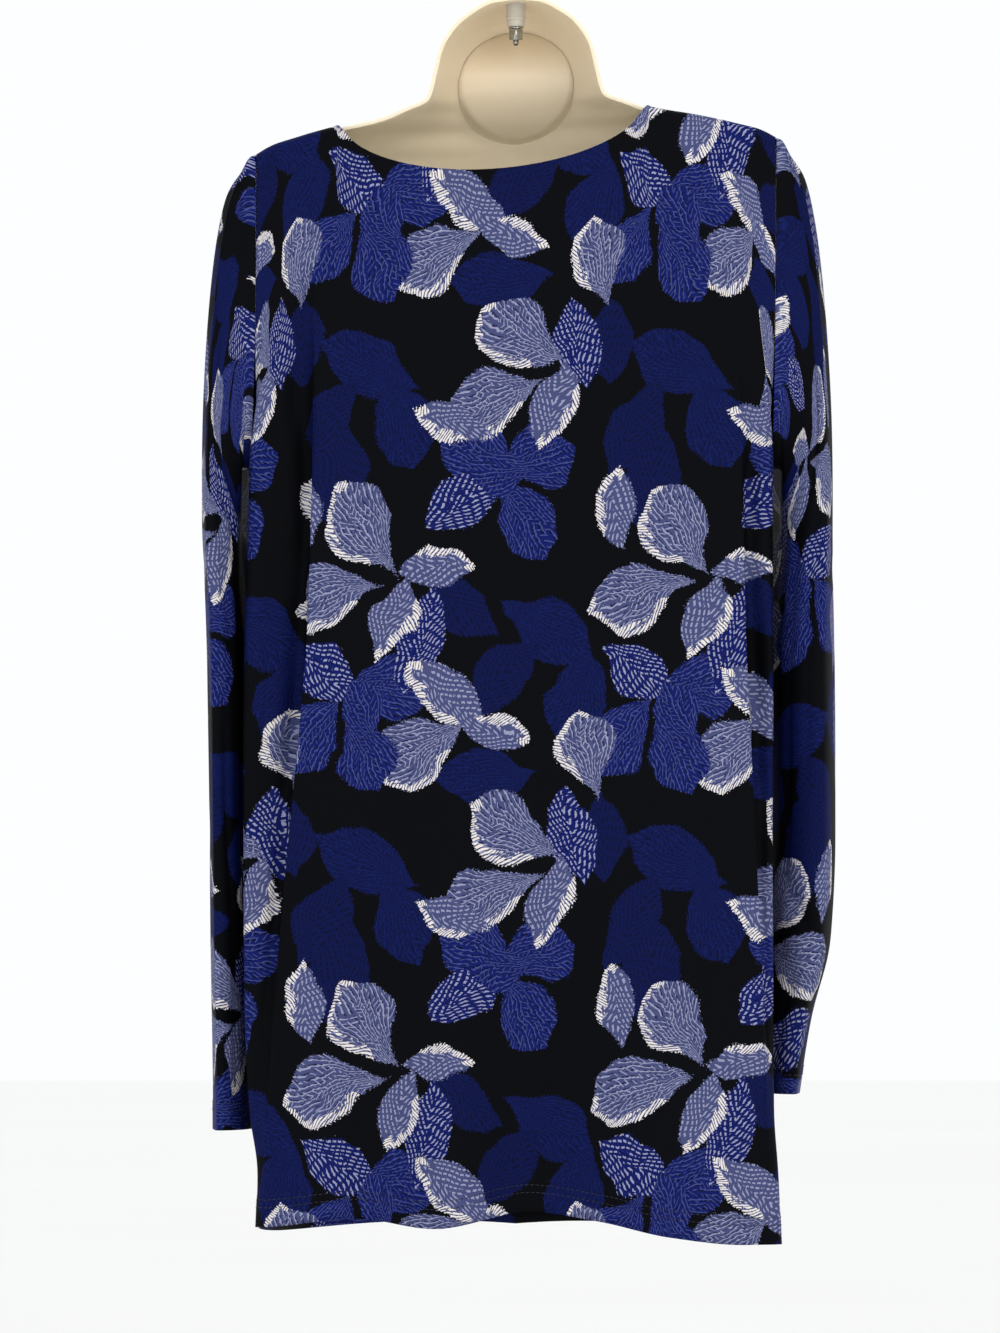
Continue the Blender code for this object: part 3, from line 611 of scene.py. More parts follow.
# Creases: where each runs on the flat cloth in millimetres, across from the panel's middle or the
# sleeve's outer line and down from the hook, its depth, its half width and how far it wanders.
# A minus depth is a trough and a plus depth a ridge
BACK_CREASES = [
    (141, 292, 151, 471, -6.5, 5.5, 0.5),
    (151, 452, 161, 600, -9.5, 6, 0.5),
    (160, 580, 169, 800, -8.0, 6, 1),
    (149, 246, 152, 366, -3.0, 3.6, 0.8),
    (-152, 362, -163, 480, -6.5, 5.5, 0.5),
    (-163, 462, -169, 600, -9.5, 6, 0.5),
    (-168, 582, -171, 770, -7.5, 6, 1),
    (128, 262, 96, 372, -1.2, 9, 3),
    (-128, 250, -102, 352, -1.1, 9, -3),
    (140, 300, 122, 470, -0.9, 7, 2),
    (-136, 330, -128, 520, -0.8, 7, 2),
    (64, 236, 88, 300, -0.6, 8, 2),
    (-58, 232, -84, 296, -0.6, 8, -2),
    (98, 600, 112, 882, -1.4, 13, 3),
    (44, 690, 40, 880, 1.2, 14, 2),
    (-8, 660, -12, 872, -1.3, 15, -3),
    (-60, 640, -74, 884, 1.1, 13, 3),
    (-118, 560, -112, 884, -1.2, 11, 3),
    (20, 420, 34, 560, -0.5, 15, 4),
    (-30, 470, -44, 610, 0.5, 16, -4),
]
FRONT_CREASES = [
    (120, 262, 74, 366, -1.3, 9, 3),
    (-118, 256, -76, 360, -1.2, 9, -3),
    (98, 330, 58, 452, -0.9, 10, 3),
    (-100, 336, -66, 470, -0.9, 10, -2),
    (60, 560, 86, 884, -1.4, 13, 3),
    (-46, 600, -70, 884, -1.3, 14, -3),
    (14, 640, 6, 886, 1.0, 15, 3),
    (128, 520, 142, 884, -1.2, 11, 3),
    (-124, 540, -138, 884, -1.1, 11, 3),
]
LEFT_SLEEVE_CREASES = [
    (-82, 250, -84, 806, -3.4, 4.2, 1.5),
    (-66, 300, -70, 520, -1.4, 3.4, 1.5),
    (-66, 500, -60, 806, -2.4, 3.6, 1.5),
    (-76, 600, -80, 770, 0.8, 5, 2),
    (-104, 300, -112, 470, -1.1, 6, 2),
    (-30, 430, 20, 470, -1.2, 7, 3),
    (34, 300, 44, 520, -1.0, 8, 3),
    (62, 420, 70, 700, -1.2, 7, 3),
    (-20, 610, 30, 650, -1.0, 8, 3),
    (92, 300, 98, 640, -1.1, 7, 2),
]
RIGHT_SLEEVE_CREASES = [
    (-82, 262, -84, 660, -3.0, 4.2, 1.5),
    (-64, 360, -66, 600, -1.5, 3.6, 1.5),
    (-46, 700, -88, 640, -3.2, 5, 1),
    (-50, 730, -84, 690, -2.0, 4.5, 1),
    (-62, 700, -66, 784, -2.0, 4, 1),
    (-72, 640, -84, 700, 0.9, 5, 2),
    (-104, 300, -110, 480, -1.0, 6, 2),
    (-24, 440, 26, 476, -1.1, 7, 3),
    (30, 300, 42, 540, -1.0, 8, 3),
    (60, 560, 20, 700, -1.2, 8, 3),
    (90, 310, 98, 640, -1.1, 7, 2),
    (10, 700, 56, 740, -1.1, 7, 2),
]
SEAM_DIP = 0.6
SEAM_DIP_RUN = 2.4
SIDE_DIP = 2.0
SIDE_DIP_RUN = 4.5
ARM_DIP = 0.25
UNDERARM_DOWN = 300.0
UNDERARM_RUN = 60.0
HEAD_SINK = 3.4
HEAD_DOWN = 15.0
HEAD_RUN = 12.0
HEAD_HALF = 62.0
TURNED_STEP = 0.35
TURNED_RUN = 1.6
NECK_TURN = 9.0
SWELL = 0.22
WALL_PARTS = 6
ROW_PARTS = 6
HEM_ROWS = 90
SLEEVE_PARTS = 5
CAP_ROWS = 64
ARM_ROWS = 76


def finer(stations, parts):
    """Divides each step between stations into equal parts."""
    made = [stations[0]]
    for a, b in zip(stations, stations[1:]):
        made += [mix(a, b, (i + 1) / parts) for i in range(parts)]
    return made


def even(parts, start=0.0):
    return [start + i / parts for i in range(1, parts + 1)]


def crease_depth(creases, across, down):
    """How far the creases move the cloth, in millimetres, over the grid of flat places."""
    total = np.zeros_like(across)
    for x0, y0, x1, y1, depth, half, wander in creases:
        way = np.array([x1 - x0, y1 - y0], float)
        length = np.hypot(*way)
        way /= length
        run = ((across - x0) * way[0] + (down - y0) * way[1]) / length
        off = (across - x0) * way[1] - (down - y0) * way[0]
        off = off + wander * np.sin(5.1 * run + 0.7 * x0)
        ends = np.clip(run * 4, 0, 1) * np.clip((1.06 - run) * 4, 0, 1)
        ends = ends * ends * (3 - 2 * ends)
        uneven = 0.75 + 0.25 * np.sin(9.0 * run + 0.31 * y0)
        total += depth * uneven * ends * np.exp(-((off / half) ** 2))
    return total


def step_up(distance, run):
    """Rises from 0 to 1 within a run of a distance of 0."""
    share = np.clip(distance / run + 0.5, 0, 1)
    return share * share * (3 - 2 * share)


laid = {}


def lay_cloth(name, columns, rows, place, middle, level, inside, shape, closed=False):
    """Lays a grid of cloth by its function, eases it, finds its flat cut and presses its creases.

    The grid's flat places are kept as its UV map, in metres of cloth."""
    across = len(columns) - 1
    down = len(rows) - 1
    grid = np.array([[place(column, row) for row in rows] for column in columns], float)
    for _ in range(2):
        eased = grid.copy()
        eased[:, 1:-1] = grid[:, 1:-1] / 2 + (grid[:, 2:] + grid[:, :-2]) / 4
        kept = eased.copy()
        eased[1:-1] = kept[1:-1] / 2 + (kept[2:] + kept[:-2]) / 4
        if closed:
            eased[0] = eased[-1] = kept[0] / 2 + (kept[1] + kept[-2]) / 4
        else:
            eased[0], eased[-1] = grid[0], grid[-1]
        eased[:, 0], eased[:, -1] = grid[:, 0], grid[:, -1]
        grid = eased
    wide = np.linalg.norm(np.diff(grid, axis=0), axis=2)
    tall = np.linalg.norm(np.diff(grid, axis=1), axis=2)
    flat_x = np.vstack([np.zeros(down + 1), np.cumsum(wide, axis=0)])
    flat_x -= flat_x[middle]
    flat_y = np.hstack([np.zeros((across + 1, 1)), np.cumsum(tall, axis=1)])
    flat_y += -CHEST_Z - flat_y[:, level:level + 1] if not closed else (
        -SLEEVE_TOP_Z - flat_y[:, level:level + 1])
    side = np.gradient(np.vstack([grid[-2:-1], grid, grid[1:2]]), axis=0)[1:-1] if closed else (
        np.gradient(grid, axis=0))
    normal = np.cross(side, np.gradient(grid, axis=1))
    normal /= np.linalg.norm(normal, axis=2, keepdims=True) + 1e-12
    away = grid - np.array([inside(point) for point in grid.reshape(-1, 3)]).reshape(grid.shape)
    if np.sum(normal * away) < 0:
        normal = -normal
    grid = grid + normal * shape(flat_x, flat_y)[..., None]
    if closed:
        grid[-1] = grid[0]
    laid[name] = (grid * MM, normal, flat_x * MM, flat_y * MM, closed)
    bm = bmesh.new()
    bmesh.ops.create_grid(bm, x_segments=across, y_segments=down, size=0.5)
    flat = bm.loops.layers.uv.new("Cloth")
    places = {}
    for vert in bm.verts:
        at = (round((vert.co.x + 0.5) * across), round((0.5 - vert.co.y) * down))
        places[vert] = at
    for face in bm.faces:
        for loop in face.loops:
            at = places[loop.vert]
            loop[flat].uv = (flat_x[at] * MM, flat_y[at] * MM)
    for vert, at in places.items():
        vert.co = grid[at] * MM
    if closed:
        bmesh.ops.remove_doubles(bm, verts=bm.verts, dist=1e-6)
    return finish_mesh(name, bm)


def finish_mesh(name, bm, look=None, angle=180.0):
    mesh = bpy.data.meshes.new(name)
    bm.to_mesh(mesh)
    bm.free()
    mesh.shade_smooth()
    if angle < 180.0:
        mesh.set_sharp_from_angle(angle=math.radians(angle))
    made = bpy.data.objects.new(name, mesh)
    bpy.context.scene.collection.objects.link(made)
    if look:
        mesh.materials.append(look)
    return made


def thicken(piece, wall, offset=0.0):
    made = piece.modifiers.new("Wall", "SOLIDIFY")
    made.thickness = wall
    made.offset = offset
    made.use_even_offset = False
    return made


def panel_shape(creases, neck_shares, stations):
    """The relief of a panel: creases, a dip along each seam, turned edges at the neck and hem."""
    hem = bpy.context.scene.tunic_cloth.hem_depth / MM

    def shape(flat_x, flat_y):
        total = crease_depth(creases, flat_x, flat_y)
        total += SWELL * np.sin(flat_x / 19 + 1.3) * np.sin(flat_y / 31 + 0.4)
        side_dip = mix(ARM_DIP, SIDE_DIP, step_up(flat_y - UNDERARM_DOWN, UNDERARM_RUN))
        for edge in (flat_x[:1], flat_x[-1:]):
            total -= side_dip * np.exp(-(((flat_x - edge) / SIDE_DIP_RUN) ** 2))
        from_top = flat_y - flat_y[:, :1]
        on_shoulder = np.array([share >= neck_shares[0 if s > 0 else 1] for s, share in stations])
        dip = SEAM_DIP * np.exp(-((from_top / SEAM_DIP_RUN) ** 2))
        turned = TURNED_STEP * step_up(NECK_TURN - from_top, TURNED_RUN)
        total += np.where(on_shoulder[:, None], -dip, turned)
        total += TURNED_STEP * step_up(hem - (flat_y[:, -1:] - flat_y), TURNED_RUN)
        return total

    return shape


def sleeve_shape(creases):
    hem = bpy.context.scene.tunic_cloth.hem_depth / MM

    def shape(flat_x, flat_y):
        total = crease_depth(creases, flat_x, flat_y)
        total += SWELL * np.sin(flat_y / 27 + 0.9)
        from_top = flat_y - flat_y[:, :1]
        total -= ARM_DIP * np.exp(-((from_top / SEAM_DIP_RUN) ** 2))
        head = np.exp(-((flat_x / HEAD_HALF) ** 2)) * np.exp(-(((from_top - HEAD_DOWN) / HEAD_RUN) ** 2))
        total -= HEAD_SINK * head
        total += TURNED_STEP * step_up(hem - (flat_y[:, -1:] - flat_y), TURNED_RUN)
        return total

    return shape


# Materials


def node(tree, kind, links=None, **settings):
    """Adds a node with its settings, and fills or links its sockets."""
    made = tree.nodes.new(kind)
    for name, value in settings.items():
        setattr(made, name, value)
    for name, value in (links or {}).items():
        if isinstance(value, bpy.types.NodeSocket):
            tree.links.new(value, made.inputs[name])
        else:
            made.inputs[name].default_value = value
    return made


def new_material(name):
    """A new material: its node tree and its Principled shader."""
    made = bpy.data.materials.new(name)
    made.use_nodes = True
    return made, made.node_tree, made.node_tree.nodes["Principled BSDF"]


# The print's leaves, charted on one repeat of 203 by 320 millimetres: the middle's place
# across and down, turn in degrees, length, width, bend at the tip, fullness, and kind. A fuller
# leaf is widest nearer its tip
LEAF_KINDS = ["ground", "charcoal", "navy", "navy_dashed", "cobalt", "cobalt_dashed", "pale", "pale_dashed"]
LEAVES = [
    (150, 40, -20, 80, 44, 7, 1.2, 2),
    (180, 76, 55, 76, 38, -6, 1.0, 3),
    (126, 72, 115, 68, 44, 6, 1.3, 2),
    (165, 108, 85, 74, 42, 6, 1.1, 3),
    (30, 206, 150, 78, 44, 6, 1.2, 2),
    (62, 236, 40, 74, 38, -6, 1.0, 3),
    (10, 250, 75, 68, 42, 6, 1.2, 2),
    (88, 194, -35, 66, 34, 6, 1.0, 3),
    (70, 304, 10, 76, 40, 6, 1.2, 2),
    (196, 20, 100, 62, 36, 6, 1.1, 3),
    (42, 96, 200, 62, 48, 6, 1.5, 4),
    (74, 92, -40, 66, 46, -6, 1.5, 4),
    (46, 134, 130, 62, 44, 6, 1.4, 4),
    (140, 244, 190, 66, 46, 6, 1.5, 4),
    (186, 274, 50, 66, 44, -6, 1.5, 4),
    (112, 214, 80, 78, 36, 6, 1.0, 5),
    (18, 22, 95, 66, 38, -6, 1.0, 5),
    (84, 124, 45, 64, 38, 6, 1.1, 5),
    (176, 238, -30, 62, 38, 6, 1.1, 5),
    (52, 22, -25, 76, 48, 7, 1.6, 6),
    (66, 56, 20, 80, 48, -7, 1.6, 6),
    (28, 64, 80, 64, 32, 7, 1.0, 7),
    (94, 76, -12, 60, 28, 5, 1.0, 7),
    (150, 148, -50, 76, 50, 8, 1.6, 6),
    (172, 182, 10, 80, 48, -8, 1.6, 6),
    (130, 200, 75, 62, 32, 6, 1.0, 7),
    (104, 166, 190, 54, 28, 5, 1.0, 7),
    (98, 252, -30, 70, 36, 6, 1.0, 7),
    (112, 282, 25, 76, 48, -7, 1.6, 6),
    (66, 272, 170, 52, 28, 5, 1.0, 7),
    (192, 130, -80, 58, 30, 6, 1.0, 7),
    (8, 292, -70, 68, 44, 7, 1.6, 6),
    (60, 108, 10, 50, 36, 5, 1.4, 4),
    (150, 286, 120, 62, 44, 6, 1.4, 4),
    (152, 262, -60, 48, 32, 5, 1.2, 4),
]
KIND_STEP = 64.0
PROFILE_PARTS = 12
TOOTH_PITCH = 2.3
TOOTH_DEPTH = 1.2


def leaf_group(fullness):
    """The nodes of one leaf: the place along and across it, its kind and the room to its edge,
    or what lies below it where the place is outside it."""
    tree = bpy.data.node_groups.new("one leaf", "ShaderNodeTree")
    cloth = bpy.context.scene.tunic_cloth
    for name, kind in (
        ("Place", "NodeSocketVector"), ("Centre", "NodeSocketVector"), ("Along", "NodeSocketVector"),
        ("Across", "NodeSocketVector"), ("Slope", "NodeSocketFloat"), ("Half", "NodeSocketFloat"),
        ("Bend", "NodeSocketFloat"), ("Kind", "NodeSocketFloat"),
        ("Rag", "NodeSocketFloat"), ("Below", "NodeSocketVector"),
    ):
        tree.interface.new_socket(name, in_out="INPUT", socket_type=kind)
    tree.interface.new_socket("Leaf", in_out="OUTPUT", socket_type="NodeSocketVector")
    given = tree.nodes.new("NodeGroupInput").outputs
    add = functools.partial(node, tree)
    math_of = functools.partial(figure, tree)
    half = Vector((cloth.print_width / MM / 2, cloth.print_height / MM / 2, 1.0))
    off = add("ShaderNodeVectorMath", {0: given["Place"], 1: given["Centre"]}, operation="SUBTRACT")
    off = add("ShaderNodeVectorMath", {0: off.outputs[0], 1: half, 2: -half}, operation="WRAP")
    x, y = (
        add("ShaderNodeVectorMath", {0: off.outputs[0], 1: given[way]}, operation="DOT_PRODUCT").outputs[1]
        for way in ("Along", "Across")
    )
    share = math_of("MULTIPLY_ADD", x, given["Slope"], 0.5)
    profile = add("ShaderNodeFloatCurve", {1: share})
    points = profile.mapping.curves[0].points
    points[1].location = (1.0, 0.0)
    for i in range(1, PROFILE_PARTS):
        at = i / PROFILE_PARTS
        points.new(at, math.sin(math.pi * at**fullness))
    profile.mapping.update()
    full = math_of("MULTIPLY_ADD", profile.outputs[0], given["Half"], -1.5 * TOOTH_DEPTH)
    bent = math_of("MULTIPLY", share, share)
    bent = math_of("MULTIPLY_ADD", bent, given["Bend"], y)
    room = math_of("ABSOLUTE", bent)
    room = math_of("SUBTRACT", full, room)
    room = math_of("ADD", room, given["Rag"])
    inside = math_of("GREATER_THAN", room, 0.0)
    marked = math_of("MULTIPLY_ADD", given["Kind"], KIND_STEP, room)
    packed = add("ShaderNodeCombineXYZ", {0: x, 1: bent, 2: marked}).outputs[0]
    shown = add("ShaderNodeMix", {"Factor": inside, 4: given["Below"], 5: packed}, data_type="VECTOR")
    out = tree.nodes.new("NodeGroupOutput")
    tree.links.new(shown.outputs[1], out.inputs["Leaf"])
    return tree


def figure(tree, operation, *values, use_clamp=False):
    """The result of a math node on sockets or numbers."""
    made = node(tree, "ShaderNodeMath", dict(enumerate(values)), operation=operation, use_clamp=use_clamp)
    return made.outputs[0]


def blend(tree, share, first, last):
    """The mix of two colours."""
    made = node(tree, "ShaderNodeMix", {"Factor": share, 6: first, 7: last}, data_type="RGBA")
    return made.outputs[2]


def shifted(tree, place, scale, shift=(0.0, 0.0, 0.0)):
    """A place that is scaled and then moved."""
    made = node(tree, "ShaderNodeVectorMath", {0: place, 1: scale, 2: shift}, operation="MULTIPLY_ADD")
    return made.outputs[0]


def by_kind(tree, share, colours):
    """One colour for each kind of leaf."""
    ramp = node(tree, "ShaderNodeValToRGB", {0: share})
    ramp.color_ramp.interpolation = "CONSTANT"
    while len(ramp.color_ramp.elements) < len(colours):
        ramp.color_ramp.elements.new(1.0)
    for i, colour in enumerate(colours):
        ramp.color_ramp.elements[i].position = i / len(colours)
        ramp.color_ramp.elements[i].color = (*colour, 1.0)
    return ramp.outputs[0]


def leaves_on(tree, place):
    """Lays all the leaves of the chart over one another. Returns what shows at a place."""
    add = functools.partial(node, tree)
    warp = add("ShaderNodeTexNoise", {"Vector": place, "Scale": 0.04, "Detail": 1.0}, noise_dimensions="2D")
    warp = shifted(tree, warp.outputs["Color"], (10.0, 10.0, 0.0), (-5.0, -5.0, 0.0))
    warped = add("ShaderNodeVectorMath", {0: warp, 1: place}, operation="ADD").outputs[0]
    rag = add("ShaderNodeTexNoise", {"Vector": place, "Scale": 0.75, "Detail": 1.0}, noise_dimensions="2D")
    rag = figure(tree, "MULTIPLY_ADD", rag.outputs[0], TOOTH_DEPTH * 4, -TOOTH_DEPTH * 2)
    groups = {full: leaf_group(full) for full in sorted({row[6] for row in LEAVES})}
    seen = add("ShaderNodeCombineXYZ").outputs[0]
    for x, y, turn, long, wide, bend, full, kind in LEAVES:
        along = Vector((math.cos(math.radians(turn)), math.sin(math.radians(turn)), 0.0))
        leaf = add("ShaderNodeGroup", node_tree=groups[full])
        for name, value in (
            ("Centre", (x, y, 0.0)), ("Along", along),
            ("Across", Vector((-along.y, along.x, 0.0))), ("Slope", 1 / long), ("Half", wide / 2),
            ("Bend", bend), ("Kind", kind),
        ):
            leaf.inputs[name].default_value = value
        for name, value in (("Place", warped), ("Rag", rag), ("Below", seen)):
            tree.links.new(value, leaf.inputs[name])
        seen = leaf.outputs[0]
    return seen


def printed_jersey(shift):
    """Polyester and elastane jersey, knitted fine and printed: a smooth, nearly matt face, ink
    that sinks into the knit, and fine wales that only show close to."""
    cloth = bpy.context.scene.tunic_cloth
    made, tree, shader = new_material("printed jersey")
    add = functools.partial(node, tree)
    of = functools.partial(figure, tree)
    flat = add("ShaderNodeUVMap", uv_map="Cloth").outputs[0]
    place = shifted(tree, flat, (1 / MM, 1 / MM, 0.0), (*shift, 0.0))
    parts = add("ShaderNodeSeparateXYZ", {0: leaves_on(tree, place)}).outputs
    x, y = parts[0], parts[1]
    kind = of("FLOOR", of("MULTIPLY_ADD", parts[2], 1 / KIND_STEP, 0.001))
    room = of("MULTIPLY_ADD", kind, -KIND_STEP, parts[2])

    # Strokes of the brush radiate from the leaf's foot, and fork away from its midrib
    from_foot = of("ADD", x, 44.0)
    ray = of("ARCTAN2", y, from_foot)
    fork = of("MULTIPLY_ADD", of("ABSOLUTE", y), -0.9, x)
    stroke = add("ShaderNodeCombineXYZ", {0: of("MULTIPLY", ray, 20.0), 1: of("MULTIPLY", fork, 0.10), 2: kind})
    stroke = add("ShaderNodeTexNoise", {"Vector": stroke.outputs[0], "Scale": 1.0, "Detail": 1.0, "Roughness": 0.5})
    stroke = stroke.outputs[0]
    fine = add("ShaderNodeCombineXYZ", {0: of("MULTIPLY", fork, 0.50), 1: of("MULTIPLY", y, 0.14), 2: kind})
    fine = add("ShaderNodeTexNoise", {"Vector": fine.outputs[0], "Scale": 1.0, "Detail": 1.0}).outputs[0]

    # Rows of short dashes slant across the other leaves
    row = of("MULTIPLY_ADD", x, 0.42, of("ABSOLUTE", y))
    row = of("MULTIPLY_ADD", fine, 1.6, row)
    row = of("DIVIDE", row, 3.1)
    in_row = of("LESS_THAN", of("FRACT", row), 0.36)
    dash = of("MULTIPLY_ADD", y, 0.16, of("DIVIDE", x, 4.2))
    dash = of("MULTIPLY_ADD", of("FLOOR", row), 0.37, dash)
    dash = of("LESS_THAN", of("FRACT", dash), 0.66)
    dash = of("MULTIPLY", of("MULTIPLY", dash, in_row), of("GREATER_THAN", stroke, 0.36))
    line = of("FRACT", of("MULTIPLY_ADD", ray, 19.0, of("MULTIPLY", fine, 0.7)))
    barb = of("FRACT", of("MULTIPLY_ADD", fork, 0.30, of("MULTIPLY", fine, 0.5)))
    plain = of("MULTIPLY", of("LESS_THAN", line, 0.26), of("GREATER_THAN", stroke, 0.46))
    barbs = of("MULTIPLY", of("LESS_THAN", barb, 0.22), of("LESS_THAN", stroke, 0.46))
    plain = of("MAXIMUM", plain, barbs)
    dark = of("MULTIPLY", of("GREATER_THAN", line, 0.72), of("LESS_THAN", fine, 0.5))
    light = add("ShaderNodeMix", {"Factor": of("MODULO", kind, 2.0), 2: plain, 3: dash}, data_type="FLOAT")

    share = of("MULTIPLY_ADD", kind, 1 / len(LEAF_KINDS), 0.5 / len(LEAF_KINDS))
    base = by_kind(tree, share, [
        cloth.ground, cloth.charcoal, cloth.navy, cloth.navy,
        cloth.cobalt, cloth.cobalt, cloth.periwinkle, cloth.periwinkle,
    ])
    lighter = by_kind(tree, share, [
        cloth.ground, cloth.charcoal, cloth.navy_stroke, cloth.deep_stroke,
        cloth.mid_stroke, cloth.pale_stroke, cloth.pale_stroke, cloth.pale_stroke,
    ])
    darker = by_kind(tree, share, [
        cloth.ground, cloth.ground, cloth.deep_stroke, cloth.navy,
        cloth.deep_stroke, cloth.navy, cloth.shade_stroke, cloth.periwinkle,
    ])
    ink = blend(tree, dark, base, darker)
    ink = blend(tree, light.outputs[0], ink, lighter)
    # A comb of cream strokes stands along one side of the pale leaves
    edge = of("LESS_THAN", room, of("MULTIPLY_ADD", stroke, 15.0, -2.4))
    edge = of("MULTIPLY", edge, of("GREATER_THAN", of("MULTIPLY_ADD", x, 0.35, y), 4.0))
    comb = of("FRACT", of("MULTIPLY_ADD", fork, 1 / TOOTH_PITCH, of("MULTIPLY", fine, 0.9)))
    edge = of("MULTIPLY", edge, of("GREATER_THAN", comb, 0.42))
    edge = of("MULTIPLY", edge, of("GREATER_THAN", kind, 5.5))
    ink = blend(tree, edge, ink, (*cloth.cream, 1.0))
    tree.links.new(ink, shader.inputs["Base Color"])
    shader.inputs["Roughness"].default_value = 0.7
    shader.inputs["Specular IOR Level"].default_value = 0.05

    # Wales of 0.45 mm are drawn at 0.9 mm, so that they show close to
    knit = shifted(tree, place, (1 / 0.9, 1 / 1.1, 0.0))
    knit = add("ShaderNodeTexVoronoi", {"Vector": knit, "Scale": 1.0, "Randomness": 0.35}, voronoi_dimensions="2D")
    bump = add("ShaderNodeBump", {"Strength": 0.25, "Distance": 0.0002, "Height": knit.outputs[0]})
    tree.links.new(bump.outputs[0], shader.inputs["Normal"])
    return made


def frosted_plastic(name, base, rim):
    """Polythene, blow moulded and frosted: light sinks in and glows back softly, the face has a low broad gloss and
    slight waves from the mould. The rim colour tints the frosting at random, and is also a painted highlight where the
    "rim" attribute marks the shell's edges and the dish's outline."""
    made, tree, shader = new_material(name)
    add = functools.partial(node, tree)
    place = add("ShaderNodeTexCoord").outputs["Object"]
    haze = add("ShaderNodeTexNoise", {"Vector": place, "Scale": 14.0, "Detail": 2.0}).outputs[0]
    haze = add("ShaderNodeMath", {0: haze, 1: 0.22, 2: -0.07}, operation="MULTIPLY_ADD", use_clamp=True).outputs[0]
    body = add("ShaderNodeMix", {"Factor": haze, 6: (*base, 1.0), 7: (*rim, 1.0)}, data_type="RGBA").outputs[2]
    # Painted highlight: where the "rim" attribute is set, along the shell's edges and the dish's outline, the colour
    # turns to the paler rim colour
    edge = add("ShaderNodeAttribute", attribute_name="rim").outputs["Fac"]
    body = add("ShaderNodeMix", {"Factor": edge, 6: body, 7: (*rim, 1.0)}, data_type="RGBA").outputs[2]
    tree.links.new(body, shader.inputs["Base Color"])
    shader.inputs["Roughness"].default_value = 0.38
    shader.inputs["IOR"].default_value = 1.51
    shader.inputs["Subsurface Weight"].default_value = 0.55
    shader.inputs["Subsurface Radius"].default_value = (1.0, 0.95, 0.85)
    shader.inputs["Subsurface Scale"].default_value = 0.012
    wave = add("ShaderNodeTexNoise", {"Vector": place, "Scale": 32.0, "Detail": 2.0}).outputs[0]
    bump = add("ShaderNodeBump", {"Strength": 0.3, "Distance": 0.0006, "Height": wave})
    tree.links.new(bump.outputs[0], shader.inputs["Normal"])
    return made


def plated_steel():
    """Mild steel wire, drawn and zinc plated: bright and slightly grey, with fine lines along the
    drawing and small dull spots in the plating."""
    made, tree, shader = new_material("plated steel")
    add = functools.partial(node, tree)
    place = add("ShaderNodeTexCoord").outputs["Object"]
    lines = add("ShaderNodeVectorMath", {0: place, 1: (2600.0, 2600.0, 160.0)}, operation="MULTIPLY").outputs[0]
    lines = add("ShaderNodeTexNoise", {"Vector": lines, "Scale": 1.0, "Detail": 2.0}).outputs[0]
    rough = add("ShaderNodeMapRange", {"Value": lines, "To Min": 0.10, "To Max": 0.24}).outputs[0]
    tree.links.new(rough, shader.inputs["Roughness"])
    spots = add("ShaderNodeTexNoise", {"Vector": place, "Scale": 420.0, "Detail": 2.0}).outputs[0]
    tone = add("ShaderNodeMix", {
        "Factor": spots, 6: (*linear("#77786F"), 1.0), 7: (*linear("#B9BAB6"), 1.0),
    }, data_type="RGBA").outputs[2]
    tree.links.new(tone, shader.inputs["Base Color"])
    shader.inputs["Metallic"].default_value = 1.0
    return made


def spun_thread():
    """Spun polyester sewing thread: dull, dark, with a twist that shows as slanting ribs."""
    made, tree, shader = new_material("spun thread")
    add = functools.partial(node, tree)
    place = add("ShaderNodeTexCoord").outputs["Object"]
    ribs = add("ShaderNodeTexWave", {"Vector": place, "Scale": 900.0, "Distortion": 2.0}).outputs[1]
    tone = add("ShaderNodeMix", {
        "Factor": ribs, 6: (*linear("#0A0A14"), 1.0), 7: (*linear("#20213A"), 1.0),
    }, data_type="RGBA").outputs[2]
    tree.links.new(tone, shader.inputs["Base Color"])
    shader.inputs["Roughness"].default_value = 0.7
    return made


def plain_paper():
    """Seamless paper: matt, very pale and slightly uneven."""
    made, tree, shader = new_material("seamless paper")
    add = functools.partial(node, tree)
    place = add("ShaderNodeTexCoord").outputs["Object"]
    cloud = add("ShaderNodeTexNoise", {"Vector": place, "Scale": 1.2, "Detail": 1.0}).outputs[0]
    tone = add("ShaderNodeMix", {
        "Factor": cloud, 6: (*bpy.context.scene.tunic_stage.paper, 1.0), 7: (*linear("#F7F7F5"), 1.0),
    }, data_type="RGBA").outputs[2]
    tree.links.new(tone, shader.inputs["Base Color"])
    shader.inputs["Roughness"].default_value = 0.9
    return made


# Settings that a user would change


